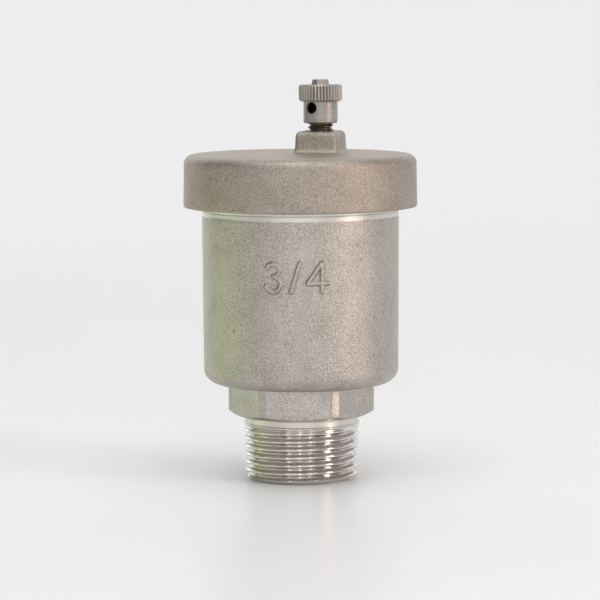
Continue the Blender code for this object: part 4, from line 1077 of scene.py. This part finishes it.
def add_lights():
    """Soft studio light: a pale surround, broad lights above and around, and a few narrow ones.

    The narrow ones draw the upright bright lines on the thread. A low green one on the left shows as
    a tint on the cup's left side.
    """
    world = bpy.data.worlds.new("studio")
    world.use_nodes = True
    background = world.node_tree.nodes["Background"]
    background.inputs["Color"].default_value = (0.96, 0.98, 1.0, 1)
    background.inputs["Strength"].default_value = 0.3
    bpy.context.scene.world = world
    add_light("overhead", 0, 76, 1.0, (0.8, 0.8), 2.9)
    add_light("front_soft", -3, 14, 1.3, (1.6, 0.7), 0.68)
    add_light("left_front", -66, 8, 1.2, (0.9, 0.7), 0.4)
    add_light("front_left", -28, 8, 1.2, (0.04, 0.8), 4.5)
    add_light("front", -4, 8, 1.2, (0.04, 0.8), 6.0)
    add_light("front_right", 18, 8, 1.2, (0.04, 0.8), 5.0)
    add_light("right_front", 60, 10, 1.0, (0.19, 1.2), 7.5, (1.0, 0.84, 0.74))
    add_light("right", 114, 8, 1.0, (0.7, 0.9), 0.65)
    add_light("left", -99, -7, 0.2, (0.17, 0.026), 0.23, (0.66, 1.0, 0.08), (0, 0, 0.04), 55)
    add_light("back_left", -146, 12, 1.2, (0.7, 0.8), 0.85)
    add_light("back_right", 150, 15, 1.2, (0.6, 0.8), 0.35)
    add_light("backdrop", 0, 90, 0.9, (1.8, 0.8), 1.3, target=(0, 1.15, 0))


# The scene

CAST_BODY = cast_finish(
    "cast_steel_body", (0, 0), grey(0.35, 0.32, 0.288), grey(0.56, 0.522, 0.478), 0.3,
)
CAST_COVER = cast_finish(
    "cast_steel_cover", (0, 0), grey(0.3, 0.262, 0.225), grey(0.475, 0.42, 0.365), 0.38,
)
TURNED_BRIGHT = turned_finish(
    "turned_steel_bright", VENT, grey(0.31, 0.287, 0.264), grey(0.46, 0.428, 0.395), 0.36,
)
TURNED_DARK = turned_finish(
    "turned_steel_dark", VENT, grey(0.13, 0.11, 0.085), grey(0.27, 0.24, 0.2), 0.18,
)
SHEET = sheet_finish()
RUBBER = rubber_finish()
FIBRE = fibre_finish()

INNER_FINISHES = {
    "vent_seat": TURNED_BRIGHT,
    "bracket_screw_1": TURNED_BRIGHT,
    "bracket_screw_2": TURNED_BRIGHT,
    "lever_pin": TURNED_BRIGHT,
    "link_pin": TURNED_BRIGHT,
    "float_stem": TURNED_BRIGHT,
    "lever_bracket": SHEET,
    "lever": SHEET,
    "pin_clip_1": SHEET,
    "pin_clip_2": SHEET,
    "float_upper_shell": SHEET,
    "float_lower_shell": SHEET,
    "seal_pad": RUBBER,
    "vent_cap_seal": RUBBER,
    "cover_gasket": FIBRE,
    "seat_washer": FIBRE,
}

make_valve_body(CAST_BODY)
make_cover(CAST_COVER)
make_vent_nipple(TURNED_DARK)
make_vent_cap(TURNED_BRIGHT)
for node, material in INNER_FINISHES.items():
    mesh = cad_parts[node].data
    mesh.materials.clear()
    mesh.materials.append(material)

add_floor()
add_camera()
add_lights()
bpy.context.scene.view_settings.view_transform = "Standard"
